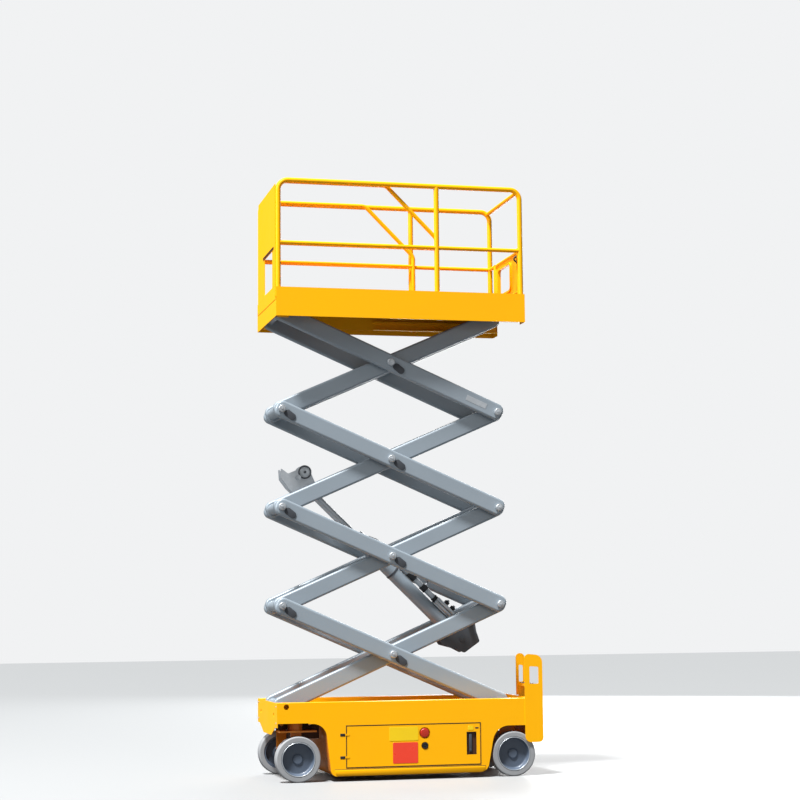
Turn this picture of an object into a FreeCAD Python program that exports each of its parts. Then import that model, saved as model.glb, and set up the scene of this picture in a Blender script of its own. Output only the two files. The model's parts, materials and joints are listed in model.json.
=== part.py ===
"""Self-propelled scissor lift, drawn half raised, in millimetres.

+X points to the entry ladder (rear), -X to the steered wheels (front), +Z up.
The near side is -Y.  The origin is on the floor below the middle of the machine.
The scissor has four stages.  In each stage arm pair A leans "/" and is the inner
pair, arm pair B leans "\\" and is the outer pair.
"""
import FreeCAD, Part
import math
import os

V = FreeCAD.Vector

# overall
halfLength = 881.5            # origin to the front tyres' edge and to the ladder's edge
chassisWidth = 760.0
chassisFrontX = 9.0 - halfLength
chassisRearX = halfLength - 49.0
chassisTop = 499.0
girderBottom = 371.0          # underside of the upper band
plate = 5.0                   # chassis sheet
skirtBottom = 34.0
halfWidth = chassisWidth / 2
girderInnerY = halfWidth - 95.0                        # the trough between the girders
skinInY = halfWidth - plate
seam = 0.1                   # between pieces that are welded or bolted face to face
endHole = {"y": girderInnerY - 35.0, "z": 422.0, "radius": 14.0}     # tie-down holes in both end plates
serviceHole = 17.5           # in the near side, before the lower pivot shaft

# wheels and steering
wheelRadius = 144.0
tyreInner = 110.0
tyreWide = 80.0
tyreOut = halfWidth - 8.0
tyreIn = tyreOut - tyreWide
frontWheelX = wheelRadius - halfLength
rearWheelX = halfLength - 197.0
kingpinY = tyreIn - 22.0
kingpinRadius = 18.0
kingpinFoot = 290.0
kingpinTubeTop = 366.0
kingpinTubeRadius = 38.0
axleRadius = 22.0
axleEnd = tyreOut - 42.0      # from the middle of the machine to the end of either stub
hubInY = tyreIn + 4.0         # inner face of a wheel disc
steerArm = 100.0
steerArmZ = (200.0, 212.0)
rodPinRadius = 8.0
carrierZ = (312.0, 322.0)     # plates that hold the kingpin tubes
carrierX = (28.0 - halfLength, 268.0 - halfLength)
carrierY = (kingpinY - 80.0, kingpinY + 65.0)
beamTop = 399.9
beamHalf = 40.0
beamReach = kingpinY + 10.0   # the front beam's ends
rearTube = {"end": tyreIn - 6.0, "radius": 28.0}
yokeLeg = {"head": 34.0, "foot": 28.0, "below": 34.0, "round": 24.0, "in": 8.0, "out": 16.0}
yokeFlange = {"radius": 30.0, "to": 40.0}
steerTip = 17.0
steerArmRoot = {"x": 5.0, "out": 14.0, "in": 6.0}
tieRod = {"radius": 9.0, "eyeHigh": 20.0, "pinHigh": 24.0}
rearHanger = {"y": (tyreIn - 82.0, tyreIn - 67.0), "foot": 40.0, "head": 60.0, "round": 30.0}
kingpinTop = kingpinTubeTop - 6.0
kingpinBore = kingpinTubeTop - 2.0
# a wheel disc's profile: its hub boss, web, rim and hub cap
discHub = 44.0
discWeb = {"inner": 52.0, "outer": 92.0, "foot": 100.0, "y": tyreIn + 28.0}
discCap = {"outer": 36.0, "inner": 27.0, "cup": 5.0, "high": 8.0}
discRim = {"lip": 2.0, "edge": 7.0, "foot": 16.0, "round": 12.0}
discRound = 4.0
tyreRound = {"inner": 3.0, "outer": 9.0}

# skirts between the wheels, their arches and the pan inside
frontArch = {"footX": frontWheelX + 211.0, "topX": frontWheelX + 172.0, "round": 90.0, "lip": 5.0,
             "lipRun": 20.0}
rearArch = {"footX": rearWheelX - 182.0, "topX": rearWheelX - 127.0, "topZ": 327.0, "round": 110.0}
frontFootRound = 40.0
rearFootRound = 62.0
frontLobe = {"outerY": halfWidth - 80.0, "outerZ": 345.0, "innerY": halfWidth - 230.0, "innerZ": 290.0,
             "round": 20.0}
rearDropY = halfWidth - 104.0                          # the rear end plate hangs lower between these

# trough between the girders
floorZ = 400.0
trackX = (796.0 - halfLength, chassisRearX - 23.0)
trackSheet = 6.0
wellX = (1136.0 - halfLength, 1526.0 - halfLength)        # the cylinder's foot dips into it when the lift is down
wellY = 128.0
wellZ = 345.0

# tray doors
doorX = (frontArch["footX"] + 100.0, rearArch["footX"] - 50.0)
doorZ = (89.0, 345.0)
doorSheet = 4.0
doorFold = 16.0
doorGap = 3.0
hingeX = doorX[0] - 6.0
hingeHeights = (146.0, 288.0)
knuckleRadius = 4.5
hingePinRadius = 2.5
knuckleLength = 9.0
hingeGap = 2.5
hingeSlit = 38.0
latchSlot = {"x": (doorX[1] - 90.0, doorX[1] - 24.0), "z": (148.0, 293.0), "deep": 14.0, "wall": 2.0}
doorMiddleX = (doorX[0] + doorX[1]) / 2
stopPlace = (doorMiddleX + 70.5, 293.0)
stopRadius = 30.0
keyPlace = (doorMiddleX + 71.5, 212.0)
keyRadius = 18.0
cupRoom = 6.0                 # between a control and its cup in the door
cup = {"wall": 2.0, "deep": 15.0, "floor": 3.0}
leaf = {"out": 2.0, "in": 1.0}
stopHead = {"out": 4.0, "in": 8.0}
keyOut = 3.0
controlIn = 14.9              # both controls seat on their cup's floor
traySpace = {"y": (60.0, halfWidth - 40.0), "front": 101.0, "rear": 200.0, "top": 300.0}
pumpSpace = {"front": 141.0, "rear": 320.0, "top": 290.0}

# scissor
restAngle = 23.6
lowAngle = 4.5                # lean of the arms when the lift is down
lowGap = 18.0                 # then left between the arms' ends and the rear end plate
armDepth = 110.0
armWidth = 50.0
armEndRun = 40.0              # from a pin's axis to the arm's end
armEdgeRound = 14.0
armEndRound = 45.0
pairGap = 6.0                 # between the pairs' side faces
outerArmY = girderInnerY - 70.0                        # centre plane of pair B
innerArmY = outerArmY - armWidth - pairGap             # centre plane of pair A
stages = 4
openStages = (2, 3)           # no cross tube at the centre, the cylinder passes there
pivotX = 65.0 - halfLength    # the fixed pivots, one above the other
pivotZ = 474.0
shaftRadius = 20.0
shaftFit = 0.3                # running clearance, radial
pressFit = 0.05
sleeveRadius = 36.0
sleeveGap = 0.1
pinHeadRadius = 25.0
pinHead = 16.0
rollerRadius = 24.0
rollerIn = outerArmY + armWidth / 2 + 6.0
rollerOut = girderInnerY - 11.0
openPinIn = 2.0               # an open stage's centre pin ends so far inside the inner arm's face
armLength = (chassisRearX - pivotX - armEndRun - lowGap) / math.cos(math.radians(lowAngle))

# lift cylinder, its eyes in the frame of the arm that carries them (along, across)
lowerEyeAlong = 1303.0
lowerEyeAcross = -126.0
upperEyeAlong = 209.0
upperEyeAcross = 130.5
barrelRadius = 47.0
rodRadius = 25.0
barrelLength = 985.0          # lower eye to the gland
glandLength = 60.0
glandRim = 5.0
eyeRadius = 40.0
rodEyeRadius = 36.0
eyePinRadius = 16.0
eyePinHead = 8.0
eyeHalf = 36.0               # half the width of either eye
upperCheekY = 44.0            # inner face of the cheeks beside the rod's eye
lowerCheekY = 53.0            # inner face of the cheeks beside the barrel
boreStart = 60.0              # blind end of the barrel's bore, from the lower eye
rodStart = 405.0              # the rod's inner end, from the lower eye, as drawn
lugSheet = 12.0
# cheek outlines (along, across, corner radius) from each cheek's eye or, above, from the arm's first pin
lowerCheek = ((-150.0, 96.0, 0), (135.0, 96.0, 0), (112.0, 10.0, 10), (106.0, -62.0, 14), (-22.0, -88.0, 18),
              (-66.0, -34.0, 10), (-134.0, 20.0, 6))
upperCheek = ((150.0, 20.0, 0), (120.0, 95.0, 30), (104.0, 165.0, 20), (128.0, 232.0, 4), (158.0, 180.0, 12),
              (300.0, 180.0, 20), (300.0, 20.0, 0))
ringPlace = (264.0, 145.0)    # round boss beside the rod's eye
ringRadius = 46.0
upperPost = (209.0, 20.0, 26.0)
lowerPosts = ((-110.0, 78.0, 18.0), (90.0, 78.0, 18.0))
valve = {"x": (150.0, 300.0), "y": 34.0, "from": 4.0, "to": 52.0, "tubeRadius": 15.0, "tubeAt": 30.0}

# platform, heights above its own bottom edge
platformFrontX = 5.0 - halfLength
platformRearX = halfLength - 75.0
platformDrop = 48.0           # bottom edge below the upper pivots
boardHeight = 190.0
boardSheet = 4.0
deckAt = 108.0
deckSheet = 4.0
endGap = 2.0                  # between the end plates' edge and the deck
endInY = halfWidth - boardSheet - seam
rearOpenY = girderInnerY - 15.0                        # the rear end plate is open below the deck
outriggerFoot = 20.0
channelFromX = 796.0 - halfLength
outriggerX = (36.0 - halfLength, 576.0 - halfLength, 1116.0 - halfLength, platformRearX - 42.0)
pivotLug = {"front": 35.0, "rear": 40.0, "below": 40.0, "round": 12.0}
railRadius = 17.0
midRailRadius = 13.5
gateRadius = 12.0
railTop = 901.0               # centre of the top rail
midRailAt = 486.0
railCorner = 65.0
railFoot = 130.0
centrePostX = 1089.0 - halfLength
railY = halfWidth - boardSheet - railRadius - seam
latchY = railY - 133.9
# the gate's window: its margins from the hinge, the free edge, the top and the bottom
gateWindow = {"hinge": 183.9, "free": 64.5, "top": 48.0, "low": 48.0, "rim": 14.0, "round": 22.0, "sheet": 3.0}
gatePin = {"radius": 6.0, "reach": 18.0, "lug": 8.0, "over": 16.0, "under": 14.0, "lugHalf": 11.0, "lugRound": 9.0}
gateHinge = 6.0               # between the gate's stile and the near rail
gateFree = 5.0                # between the gate and its latch post
gateFoot = 24.0               # above the toe boards
gateBend = 30.0

# roll-out extension
innerRailRadius = 14.0
innerRailY = railY - railRadius - innerRailRadius - 4.9
innerPostX = centrePostX + 8.0
extensionDeckAt = 124.0
tailTopX = 754.0 - halfLength
tailBendAt = 556.0
panelTop = 878.0
# the end panel's window: its margins from the near and far edges, and its heights
panelWindow = {"near": 112.0, "far": 252.0, "z": (boardHeight + 14.0, boardHeight + 260.0), "round": 16.0}
deckSkid = 10.0
tailRoom = 6.0                # the extension's deck past its inner posts

# entry ladder
ladderBottom = 216.0
ladderTop = 788.0
ladderPlate = 4.0
ladderGap = 390.0
ladderSlope = 12.0
nearPlate = {"x": halfLength - 122.0, "hold": (halfLength - 88.0, halfLength - 27.0), "feet": (38.0, 30.0),
             "heads": (30.0, 52.0)}
farPlate = {"x": chassisRearX - lowGap + 6.0, "hold": (chassisRearX + 8.0, halfLength - 12.0), "feet": (0, 0),
            "heads": (28.0, 26.0)}
holdZ = (592.0, 705.0)
holdSlope = 4.0
holdRound = 8.0
rungHeights = (240.0, 350.0, 460.0, 565.0)
rung = {"front": 38.0, "rear": 4.0, "high": 20.0}

rise = armLength * math.sin(math.radians(restAngle))
run = armLength * math.cos(math.radians(restAngle))
slideX = pivotX + run
topPivotZ = pivotZ + stages * rise
platformZ = topPivotZ - platformDrop
nodes = {}


# shape helpers
def box(x, y, z):
    """A block between pairs of coordinates."""
    return Part.makeBox(x[1] - x[0], y[1] - y[0], z[1] - z[0], V(x[0], y[0], z[0]))


def bar(start, end, radius):
    """A round bar from one point to another."""
    a = V(*start)
    b = V(*end)
    return Part.makeCylinder(radius, (b - a).Length, a, b - a)


def crossBar(x, z, y, radius):
    """A round bar across the machine between two y values."""
    return bar((x, y[0], z), (x, y[1], z), radius)


def outline(corners, place):
    """A closed face from (u, v, radius) corners, each placed by place(u, v)."""
    edges = []
    count = len(corners)
    starts = []
    for i, (u, v, radius) in enumerate(corners):
        here = V(u, v, 0)
        before = V(corners[i - 1][0], corners[i - 1][1], 0)
        after = V(corners[(i + 1) % count][0], corners[(i + 1) % count][1], 0)
        toBefore = (before - here).normalize()
        toAfter = (after - here).normalize()
        if radius <= 0:
            starts.append((here, here, None))
            continue
        half = toBefore.getAngle(toAfter) / 2
        reach = radius / math.tan(half)
        middle = here + (toBefore + toAfter).normalize() * (radius / math.sin(half) - radius)
        starts.append((here + toBefore * reach, here + toAfter * reach, middle))
    for i, (first, last, middle) in enumerate(starts):
        following = starts[(i + 1) % count][0]
        if middle is not None:
            edges.append(Part.Arc(place(first), place(middle), place(last)).toShape())
        if (following - last).Length > 1e-6:
            edges.append(Part.LineSegment(place(last), place(following)).toShape())
    return Part.Face(Part.Wire(edges))


def sidePrism(corners, y):
    """A side-view outline (x, z, radius) between two y values."""
    face = outline(corners, lambda p: V(p.x, y[0], p.y))
    return face.extrude(V(0, y[1] - y[0], 0))


def endPrism(corners, x):
    """An end-view outline (y, z, radius) between two x values."""
    face = outline(corners, lambda p: V(x[0], p.x, p.y))
    return face.extrude(V(x[1] - x[0], 0, 0))


def planPrism(corners, z):
    """A top-view outline (x, y, radius) between two heights."""
    face = outline(corners, lambda p: V(p.x, p.y, z[0]))
    return face.extrude(V(0, 0, z[1] - z[0]))


def bentTube(points, bend, radius):
    """A round tube along straight runs joined by arcs of one bend radius."""
    edges = []
    last = V(*points[0])
    for i in range(1, len(points) - 1):
        here = V(*points[i])
        toBefore = (V(*points[i - 1]) - here).normalize()
        toAfter = (V(*points[i + 1]) - here).normalize()
        half = toBefore.getAngle(toAfter) / 2
        reach = bend / math.tan(half)
        middle = here + (toBefore + toAfter).normalize() * (bend / math.sin(half) - bend)
        edges.append(Part.LineSegment(last, here + toBefore * reach).toShape())
        edges.append(Part.Arc(here + toBefore * reach, middle, here + toAfter * reach).toShape())
        last = here + toAfter * reach
    edges.append(Part.LineSegment(last, V(*points[-1])).toShape())
    path = Part.Wire(edges)
    start = V(*points[0])
    circle = Part.Wire(Part.makeCircle(radius, start, V(*points[1]) - start))
    return path.makePipeShell([circle], True, False)


def join(shapes):
    """One solid from touching shapes."""
    return shapes[0].multiFuse(shapes[1:]).removeSplitter()


def mirrored(shape):
    """The same shape on the other side of the machine."""
    return shape.mirror(V(0, 0, 0), V(0, 1, 0))


def bothSides(shape):
    """A near-side shape and its twin, as separate solids."""
    return [shape, mirrored(shape)]


def keep(name, *shapes):
    """Stores a sub-part: its solids are kept apart from each other."""
    solids = []
    for shape in shapes:
        solids.extend(shape.Solids)
    nodes[name] = solids[0] if len(solids) == 1 else Part.makeCompound(solids)


def turned(shape, x, z, angle):
    """Places a piece drawn flat along +X so that its origin lies at (x, z) and it leans up by angle."""
    shape = shape.copy()
    shape.rotate(V(0, 0, 0), V(0, -1, 0), angle)
    shape.translate(V(x, 0, z))
    return shape


# chassis
def makeChassis():
    def girder():
        outer = box((chassisFrontX, chassisRearX), (-halfWidth, -girderInnerY), (girderBottom, chassisTop))
        hollow = box((chassisFrontX + plate, chassisRearX - plate), (-skinInY, -girderInnerY - plate),
                     (girderBottom - 1, chassisTop - plate))
        return outer.cut(hollow)

    near, far = bothSides(girder())
    near = near.cut(crossBar(pivotX, pivotZ, (-halfWidth - 1, -skinInY + 1), serviceHole))

    lipX = frontArch["topX"] - frontArch["round"] - frontArch["lipRun"]
    lipZ = girderBottom - frontArch["lip"]
    skin = sidePrism([(frontArch["footX"], skirtBottom, frontFootRound), (frontArch["topX"], lipZ, frontArch["round"]),
                      (lipX, lipZ, 0), (lipX, girderBottom - seam, 0), (chassisRearX, girderBottom - seam, 0),
                      (chassisRearX, rearArch["topZ"], 0), (rearArch["topX"], rearArch["topZ"], rearArch["round"]),
                      (rearArch["footX"], skirtBottom, rearFootRound)], (-halfWidth, -skinInY))
    skin = skin.cut(box((doorX[0] - doorGap, doorX[1] + doorGap), (-halfWidth - 1, -skinInY + 1),
                        (doorZ[0] - doorGap, doorZ[1] + doorGap)))
    for z in hingeHeights:
        skin = skin.cut(box((hingeX - hingeSlit, doorX[0]), (-halfWidth - 1, -skinInY + 1),
                            (z - hingeGap, z + knuckleLength + hingeGap)))
        skin = join([skin, bar((hingeX, -halfWidth, z - 2 * hingeGap), (hingeX, -halfWidth, z + knuckleLength + 2 * hingeGap),
                               hingePinRadius)])
    keep("chassis_skirts", *bothSides(skin))

    def trayEnds(inset):
        """The pan with its bulkheads in side view, as far inside the outline as inset."""
        top = girderBottom - 1
        return [(frontArch["topX"] + inset, top, 0), (frontArch["footX"] + inset, skirtBottom + inset, frontFootRound - inset),
                (rearArch["footX"] - inset, skirtBottom + inset, rearFootRound - inset),
                (rearArch["topX"] - inset, rearArch["topZ"], 0), (rearArch["topX"] - inset, top, 0)]

    across = (-skinInY + seam, skinInY - seam)
    pan = sidePrism(trayEnds(0), across)
    inside = [(x, z + 1 if z == girderBottom - 1 else z, r) for x, z, r in trayEnds(plate)]
    pan = pan.cut(sidePrism(inside, (across[0] - 1, across[1] + 1)))
    keep("chassis_pan", pan.cut(box(wellX, (-wellY - 1, wellY + 1), (wellZ - seam, girderBottom))))

    trough = box((chassisFrontX + plate + 1, chassisRearX - plate - 1), (-girderInnerY, girderInnerY),
                 (floorZ, floorZ + plate))
    trackTop = pivotZ - rollerRadius - shaftFit
    track = box(trackX, (-girderInnerY, -rollerIn), (trackTop - trackSheet, trackTop))
    trackWeb = box(trackX, (-rollerIn - plate, -rollerIn), (floorZ + plate + seam, trackTop))
    well = box(wellX, (-wellY, wellY), (wellZ, floorZ + plate))
    wellHollow = box((wellX[0] + plate, wellX[1] - plate), (-wellY + plate, wellY - plate),
                     (wellZ + plate, floorZ + plate + 1))
    keep("chassis_trough", join([trough, well]).cut(wellHollow), *bothSides(join([track, trackWeb])))

    lobe = frontLobe
    frontEnd = endPrism([(-halfWidth, chassisTop, 0), (-halfWidth, lobe["outerZ"], 0), (-lobe["outerY"], lobe["outerZ"], 0),
                         (-lobe["innerY"], lobe["innerZ"], lobe["round"]), (lobe["innerY"], lobe["innerZ"], lobe["round"]),
                         (lobe["outerY"], lobe["outerZ"], 0), (halfWidth, lobe["outerZ"], 0),
                         (halfWidth, chassisTop, 0)], (chassisFrontX - plate + 1, chassisFrontX - seam))
    rearEnd = endPrism([(-halfWidth, chassisTop, 0), (-halfWidth, rearArch["topZ"], 0), (-rearDropY, rearArch["topZ"], 0),
                        (-rearDropY, ladderBottom, 0), (rearDropY, ladderBottom, 0), (rearDropY, rearArch["topZ"], 0),
                        (halfWidth, rearArch["topZ"], 0), (halfWidth, chassisTop, 0)],
                       (chassisRearX + seam, chassisRearX + seam + plate))
    ends = []
    for end in (frontEnd, rearEnd):
        for s in (-1, 1):
            x = end.BoundBox.XMin
            end = end.cut(bar((x - 1, s * endHole["y"], endHole["z"]), (x + plate + 1, s * endHole["y"], endHole["z"]),
                              endHole["radius"]))
        ends.append(end)
    keep("chassis_shell", near, far, *ends)

    keep("lower_pivot_shaft", crossBar(pivotX, pivotZ, (-girderInnerY + seam, girderInnerY - seam), shaftRadius))
    panTop = skirtBottom + plate + seam
    tray = traySpace
    keep("battery_block", box((frontArch["footX"] + tray["front"], rearArch["footX"] - tray["rear"]),
                              tray["y"], (panTop, tray["top"])))
    keep("pump_block", box((frontArch["footX"] + pumpSpace["front"], rearArch["footX"] - pumpSpace["rear"]),
                           (-tray["y"][1], -tray["y"][0]), (panTop, pumpSpace["top"])))


def makeLadder():
    rearX = halfLength

    def side(y, kind):
        """A tall plate with its hand hold, its inner face at y."""
        foot, head = kind["feet"], kind["heads"]
        face = sidePrism([(kind["x"], ladderBottom, foot[0]), (kind["x"], ladderTop, head[0]),
                          (rearX, ladderTop - ladderSlope, head[1]), (rearX, ladderBottom, foot[1])],
                         (y, y + ladderPlate))
        x0, x1 = kind["hold"]
        return face.cut(sidePrism([(x0, holdZ[0], holdRound), (x0, holdZ[1], holdRound),
                                   (x1, holdZ[1] - holdSlope, holdRound), (x1, holdZ[0], holdRound)],
                                  (y - 1, y + ladderPlate + 1)))

    nearY = -halfWidth - ladderPlate - seam
    farY = nearY + ladderGap
    behindEnd = box((0.0, chassisRearX + plate + 2 * seam), (farY - 1, farY + ladderPlate + 1),
                    (0.0, chassisTop + plate + 1))
    pieces = [side(nearY, nearPlate), side(farY, farPlate).cut(behindEnd)]
    for z in rungHeights:
        pieces.append(box((rearX - rung["front"], rearX - rung["rear"]), (nearY + ladderPlate - 1, farY + 1),
                          (z, z + rung["high"])))
    keep("entry_ladder", join(pieces))


def makeDoors():
    y = -halfWidth

    def knuckle(z):
        barrel = bar((hingeX, y, z), (hingeX, y, z + knuckleLength), knuckleRadius)
        strap = box((hingeX, doorX[0] + doorFold), (y - leaf["out"], y + leaf["in"]), (z, z + knuckleLength))
        pinRoom = bar((hingeX, y, z - 1), (hingeX, y, z + knuckleLength + 1), hingePinRadius + shaftFit)
        return join([barrel, strap]).cut(pinRoom)

    def door(recesses):
        foldY = (y, y + doorFold)
        body = join([box(doorX, (y, y + doorSheet), doorZ),
                     box(doorX, foldY, (doorZ[0], doorZ[0] + doorGap)),
                     box(doorX, foldY, (doorZ[1] - doorGap, doorZ[1])),
                     box((doorX[1] - doorGap, doorX[1]), foldY, doorZ)])
        for (x, z), r in recesses:
            body = body.cut(crossBar(x, z, (y - 1, y + doorSheet + 1), r))
            body = join([body, crossBar(x, z, (y + 1, y + cup["deep"] + cup["floor"]), r + cup["wall"]).cut(
                crossBar(x, z, (y, y + cup["deep"]), r))])
        wall = latchSlot["wall"]
        slot = box(latchSlot["x"], (y - 1, y + latchSlot["deep"]), latchSlot["z"])
        pocket = box((latchSlot["x"][0] - wall, latchSlot["x"][1] + wall), (y + 1, y + latchSlot["deep"] + wall),
                     (latchSlot["z"][0] - wall, latchSlot["z"][1] + wall))
        body = join([body, pocket]).cut(slot)
        return join([body] + [knuckle(z) for z in hingeHeights])

    keep("tray_door_near", door([(stopPlace, stopRadius + cupRoom), (keyPlace, keyRadius + cupRoom)]))
    keep("tray_door_far", mirrored(door([])))
    keep("stop_button", join([crossBar(*stopPlace, (y - stopHead["out"], y + stopHead["in"]), stopRadius),
                              crossBar(*stopPlace, (y + stopHead["in"] - 1, y + controlIn), stopRadius / 2)]))
    keep("key_switch", crossBar(*keyPlace, (y - keyOut, y + controlIn), keyRadius))


# running gear
def makeAxles():
    beam = box((frontWheelX - beamHalf, frontWheelX + beamHalf), (-beamReach, beamReach),
               (carrierZ[1] - 1, beamTop))
    pieces = [beam]
    for s in (-1, 1):
        pieces.append(box(carrierX, sorted((s * carrierY[0], s * carrierY[1])), carrierZ))
        pieces.append(bar((frontWheelX, s * kingpinY, carrierZ[0]), (frontWheelX, s * kingpinY, kingpinTubeTop),
                          kingpinTubeRadius))
    beam = join(pieces)
    for s in (-1, 1):
        beam = beam.cut(bar((frontWheelX, s * kingpinY, carrierZ[0] - 1), (frontWheelX, s * kingpinY, kingpinBore),
                            kingpinRadius + shaftFit))
    keep("front_axle", beam)

    tubeEnd = rearTube["end"]
    rear = join([crossBar(rearWheelX, wheelRadius, (-tubeEnd, tubeEnd), rearTube["radius"]),
                 crossBar(rearWheelX, wheelRadius, (-axleEnd, axleEnd), axleRadius)])
    foot, head = rearHanger["foot"], rearHanger["head"]
    hanger = sidePrism([(rearWheelX - head, beamTop, 0), (rearWheelX - foot, wheelRadius - foot, rearHanger["round"]),
                        (rearWheelX + foot, wheelRadius - foot, rearHanger["round"]), (rearWheelX + head, beamTop, 0)],
                       (-rearHanger["y"][1], -rearHanger["y"][0]))
    keep("rear_axle", join([rear] + bothSides(hanger)))


def makeYoke(side):
    """One yoke (-1 near, 1 far): kingpin, flange, leg, axle stub and the steering arm with its pin."""
    x = frontWheelX
    y = side * kingpinY
    legOut = y + side * yokeLeg["out"]
    top = carrierZ[0] - shaftFit
    pin = bar((x, y, kingpinFoot), (x, y, kingpinTop), kingpinRadius)
    flangeTo = yokeFlange["to"]
    flange = bar((x, y, kingpinFoot), (x, y, top), yokeFlange["radius"]).common(
        box((x - flangeTo, x + flangeTo), sorted((legOut, y - side * flangeTo)), (kingpinFoot - 1, top + 1)))
    foot = wheelRadius - yokeLeg["below"]
    leg = sidePrism([(x - yokeLeg["head"], top, 0), (x - yokeLeg["foot"], foot, yokeLeg["round"]),
                     (x + yokeLeg["foot"], foot, yokeLeg["round"]), (x + yokeLeg["head"], top, 0)],
                    sorted((y - side * yokeLeg["in"], legOut)))
    stub = crossBar(x, wheelRadius, sorted((side * axleEnd, y)), axleRadius)
    endX = x + steerArm
    rootX = x + steerArmRoot["x"]
    arm = planPrism([(rootX, y + side * steerArmRoot["out"], 0), (rootX, y - side * steerArmRoot["in"], 0),
                     (endX, y - side * steerTip, 0), (endX, y + side * steerTip, 0)], steerArmZ)
    tip = bar((endX, y, steerArmZ[0]), (endX, y, steerArmZ[1]), steerTip)
    rodPin = bar((endX, y, steerArmZ[0]), (endX, y, steerArmZ[1] + tieRod["pinHigh"]), rodPinRadius)
    return join([pin, flange, leg, stub, arm, tip, rodPin])


def makeSteering():
    keep("yoke_near", makeYoke(-1))
    keep("yoke_far", makeYoke(1))
    x = frontWheelX + steerArm
    y = kingpinY
    z = (steerArmZ[1] + shaftFit, steerArmZ[1] + tieRod["eyeHigh"])
    mid = (z[0] + z[1]) / 2
    rod = join([bar((x, -y, mid), (x, y, mid), tieRod["radius"])]
               + [bar((x, s * y, z[0]), (x, s * y, z[1]), steerTip) for s in (-1, 1)])
    for s in (-1, 1):
        rod = rod.cut(bar((x, s * y, z[0] - 1), (x, s * y, z[1] + 1), rodPinRadius + shaftFit))
    keep("tie_rod", rod)


def makeWheel(name, x, side):
    def lathe(points):
        face = outline(points, lambda p: V(x, side * p.y, wheelRadius + p.x))
        return face.revolve(V(x, 0, wheelRadius), V(0, 1, 0), 360)

    near, far = tyreRound["inner"], tyreRound["outer"]
    tyre = lathe([(tyreInner, tyreIn, near), (wheelRadius, tyreIn, far), (wheelRadius, tyreOut, far),
                  (tyreInner, tyreOut, near)])
    keep("tyre_" + name, tyre)
    rim = tyreInner - pressFit
    bore = axleRadius + shaftFit
    lip = tyreOut - discRim["lip"]
    hub = axleEnd + discCap["cup"]                     # blind end of the bore, closed by the cap outside it
    cap = hub + discCap["high"]
    web = discWeb
    disc = lathe([(bore, hubInY, 0), (discHub, hubInY, discRound), (web["inner"], web["y"], 0),
                  (web["outer"], web["y"], discRound + 2.0), (web["foot"], hubInY, 0), (rim, hubInY, 0), (rim, lip, 0),
                  (rim - discRim["edge"], lip, 0), (rim - discRim["foot"], hub, discRim["round"]),
                  (discCap["outer"], hub, discRound), (discCap["inner"], cap, discRound), (0, cap, 0),
                  (0, hub, 0), (bore, hub, 0)])
    keep("wheel_disc_" + name, disc)


# scissor
def stagePins(stage):
    """Left low, right low, left high, right high and centre pins of a stage, as (x, z)."""
    low = pivotZ + (stage - 1) * rise
    high = low + rise
    return {"leftLow": (pivotX, low), "rightLow": (slideX, low), "leftHigh": (pivotX, high),
            "rightHigh": (slideX, high), "centre": ((pivotX + slideX) / 2, (low + high) / 2)}


def armTube(y, bore):
    """One arm drawn flat from its first pin at the origin, with three bores."""
    x = (-armEndRun, armLength + armEndRun)
    half = armDepth / 2
    arm = sidePrism([(x[0], -half, armEndRound), (x[1], -half, armEndRound), (x[1], half, armEndRound),
                     (x[0], half, armEndRound)], (y - armWidth / 2, y + armWidth / 2))
    rims = [e for f in arm.Faces if abs(f.normalAt(0, 0).y) > 0.9 for e in f.Edges]
    arm = arm.makeFillet(armEdgeRound, rims)
    for at in (0, armLength / 2, armLength):
        arm = arm.cut(crossBar(at, 0, (y - armWidth, y + armWidth), bore))
    return arm


def makeArms():
    innerFace = innerArmY - armWidth / 2
    outerFace = outerArmY + armWidth / 2
    for stage in range(1, stages + 1):
        pins = stagePins(stage)
        pieces = bothSides(armTube(-innerArmY, shaftRadius + shaftFit))
        sleeves = [0, armLength] if stage in openStages else [0, armLength / 2, armLength]
        for at in sleeves:
            sleeve = crossBar(at, 0, (-innerFace + sleeveGap, innerFace - sleeveGap), sleeveRadius)
            pieces.append(sleeve.cut(crossBar(at, 0, (-innerFace, innerFace), shaftRadius + shaftFit)))
        x, z = pins["leftLow"]
        keep("arms_a%d" % stage, *[turned(p, x, z, restAngle) for p in pieces])
        if stage == 3:
            keep("rod_lugs", *[turned(p, x, z, restAngle) for p in upperLugs()])

        pieces = bothSides(armTube(-outerArmY, shaftRadius + pressFit))
        x, z = pins["rightLow"]
        keep("arms_b%d" % stage, *[turned(p, x, z, 180 - restAngle) for p in pieces])

        shafts = []
        for place in ("rightLow", "centre", "leftHigh"):
            x, z = pins[place]
            reach = outerFace + pinHead
            if place == "centre" and stage in openStages:
                shaft = join([crossBar(x, z, (-reach, -innerFace - openPinIn), shaftRadius),
                              crossBar(x, z, (-reach, -outerFace - shaftFit), pinHeadRadius)])
                shafts.extend(bothSides(shaft))
                continue
            onRollers = place == "rightLow" and stage == 1
            inPlatform = place == "leftHigh" and stage == stages
            if onRollers:
                shaft = crossBar(x, z, (-rollerOut, rollerOut), shaftRadius)
                heads = bothSides(crossBar(x, z, (-rollerOut, -rollerIn), rollerRadius))
            elif inPlatform:
                shaft = crossBar(x, z, (-rollerOut, rollerOut), shaftRadius)
                heads = []
            else:
                shaft = crossBar(x, z, (-reach, reach), shaftRadius)
                heads = bothSides(crossBar(x, z, (-reach, -outerFace - shaftFit), pinHeadRadius))
            shafts.append(join([shaft] + heads))
        keep("pins_b%d" % stage, *shafts)

    x, z = stagePins(stages)["rightHigh"]
    shaft = join([crossBar(x, z, (-rollerOut, rollerOut), shaftRadius)]
                 + bothSides(crossBar(x, z, (-rollerOut, -rollerIn), rollerRadius)))
    keep("upper_roller_shaft", shaft)


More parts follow.
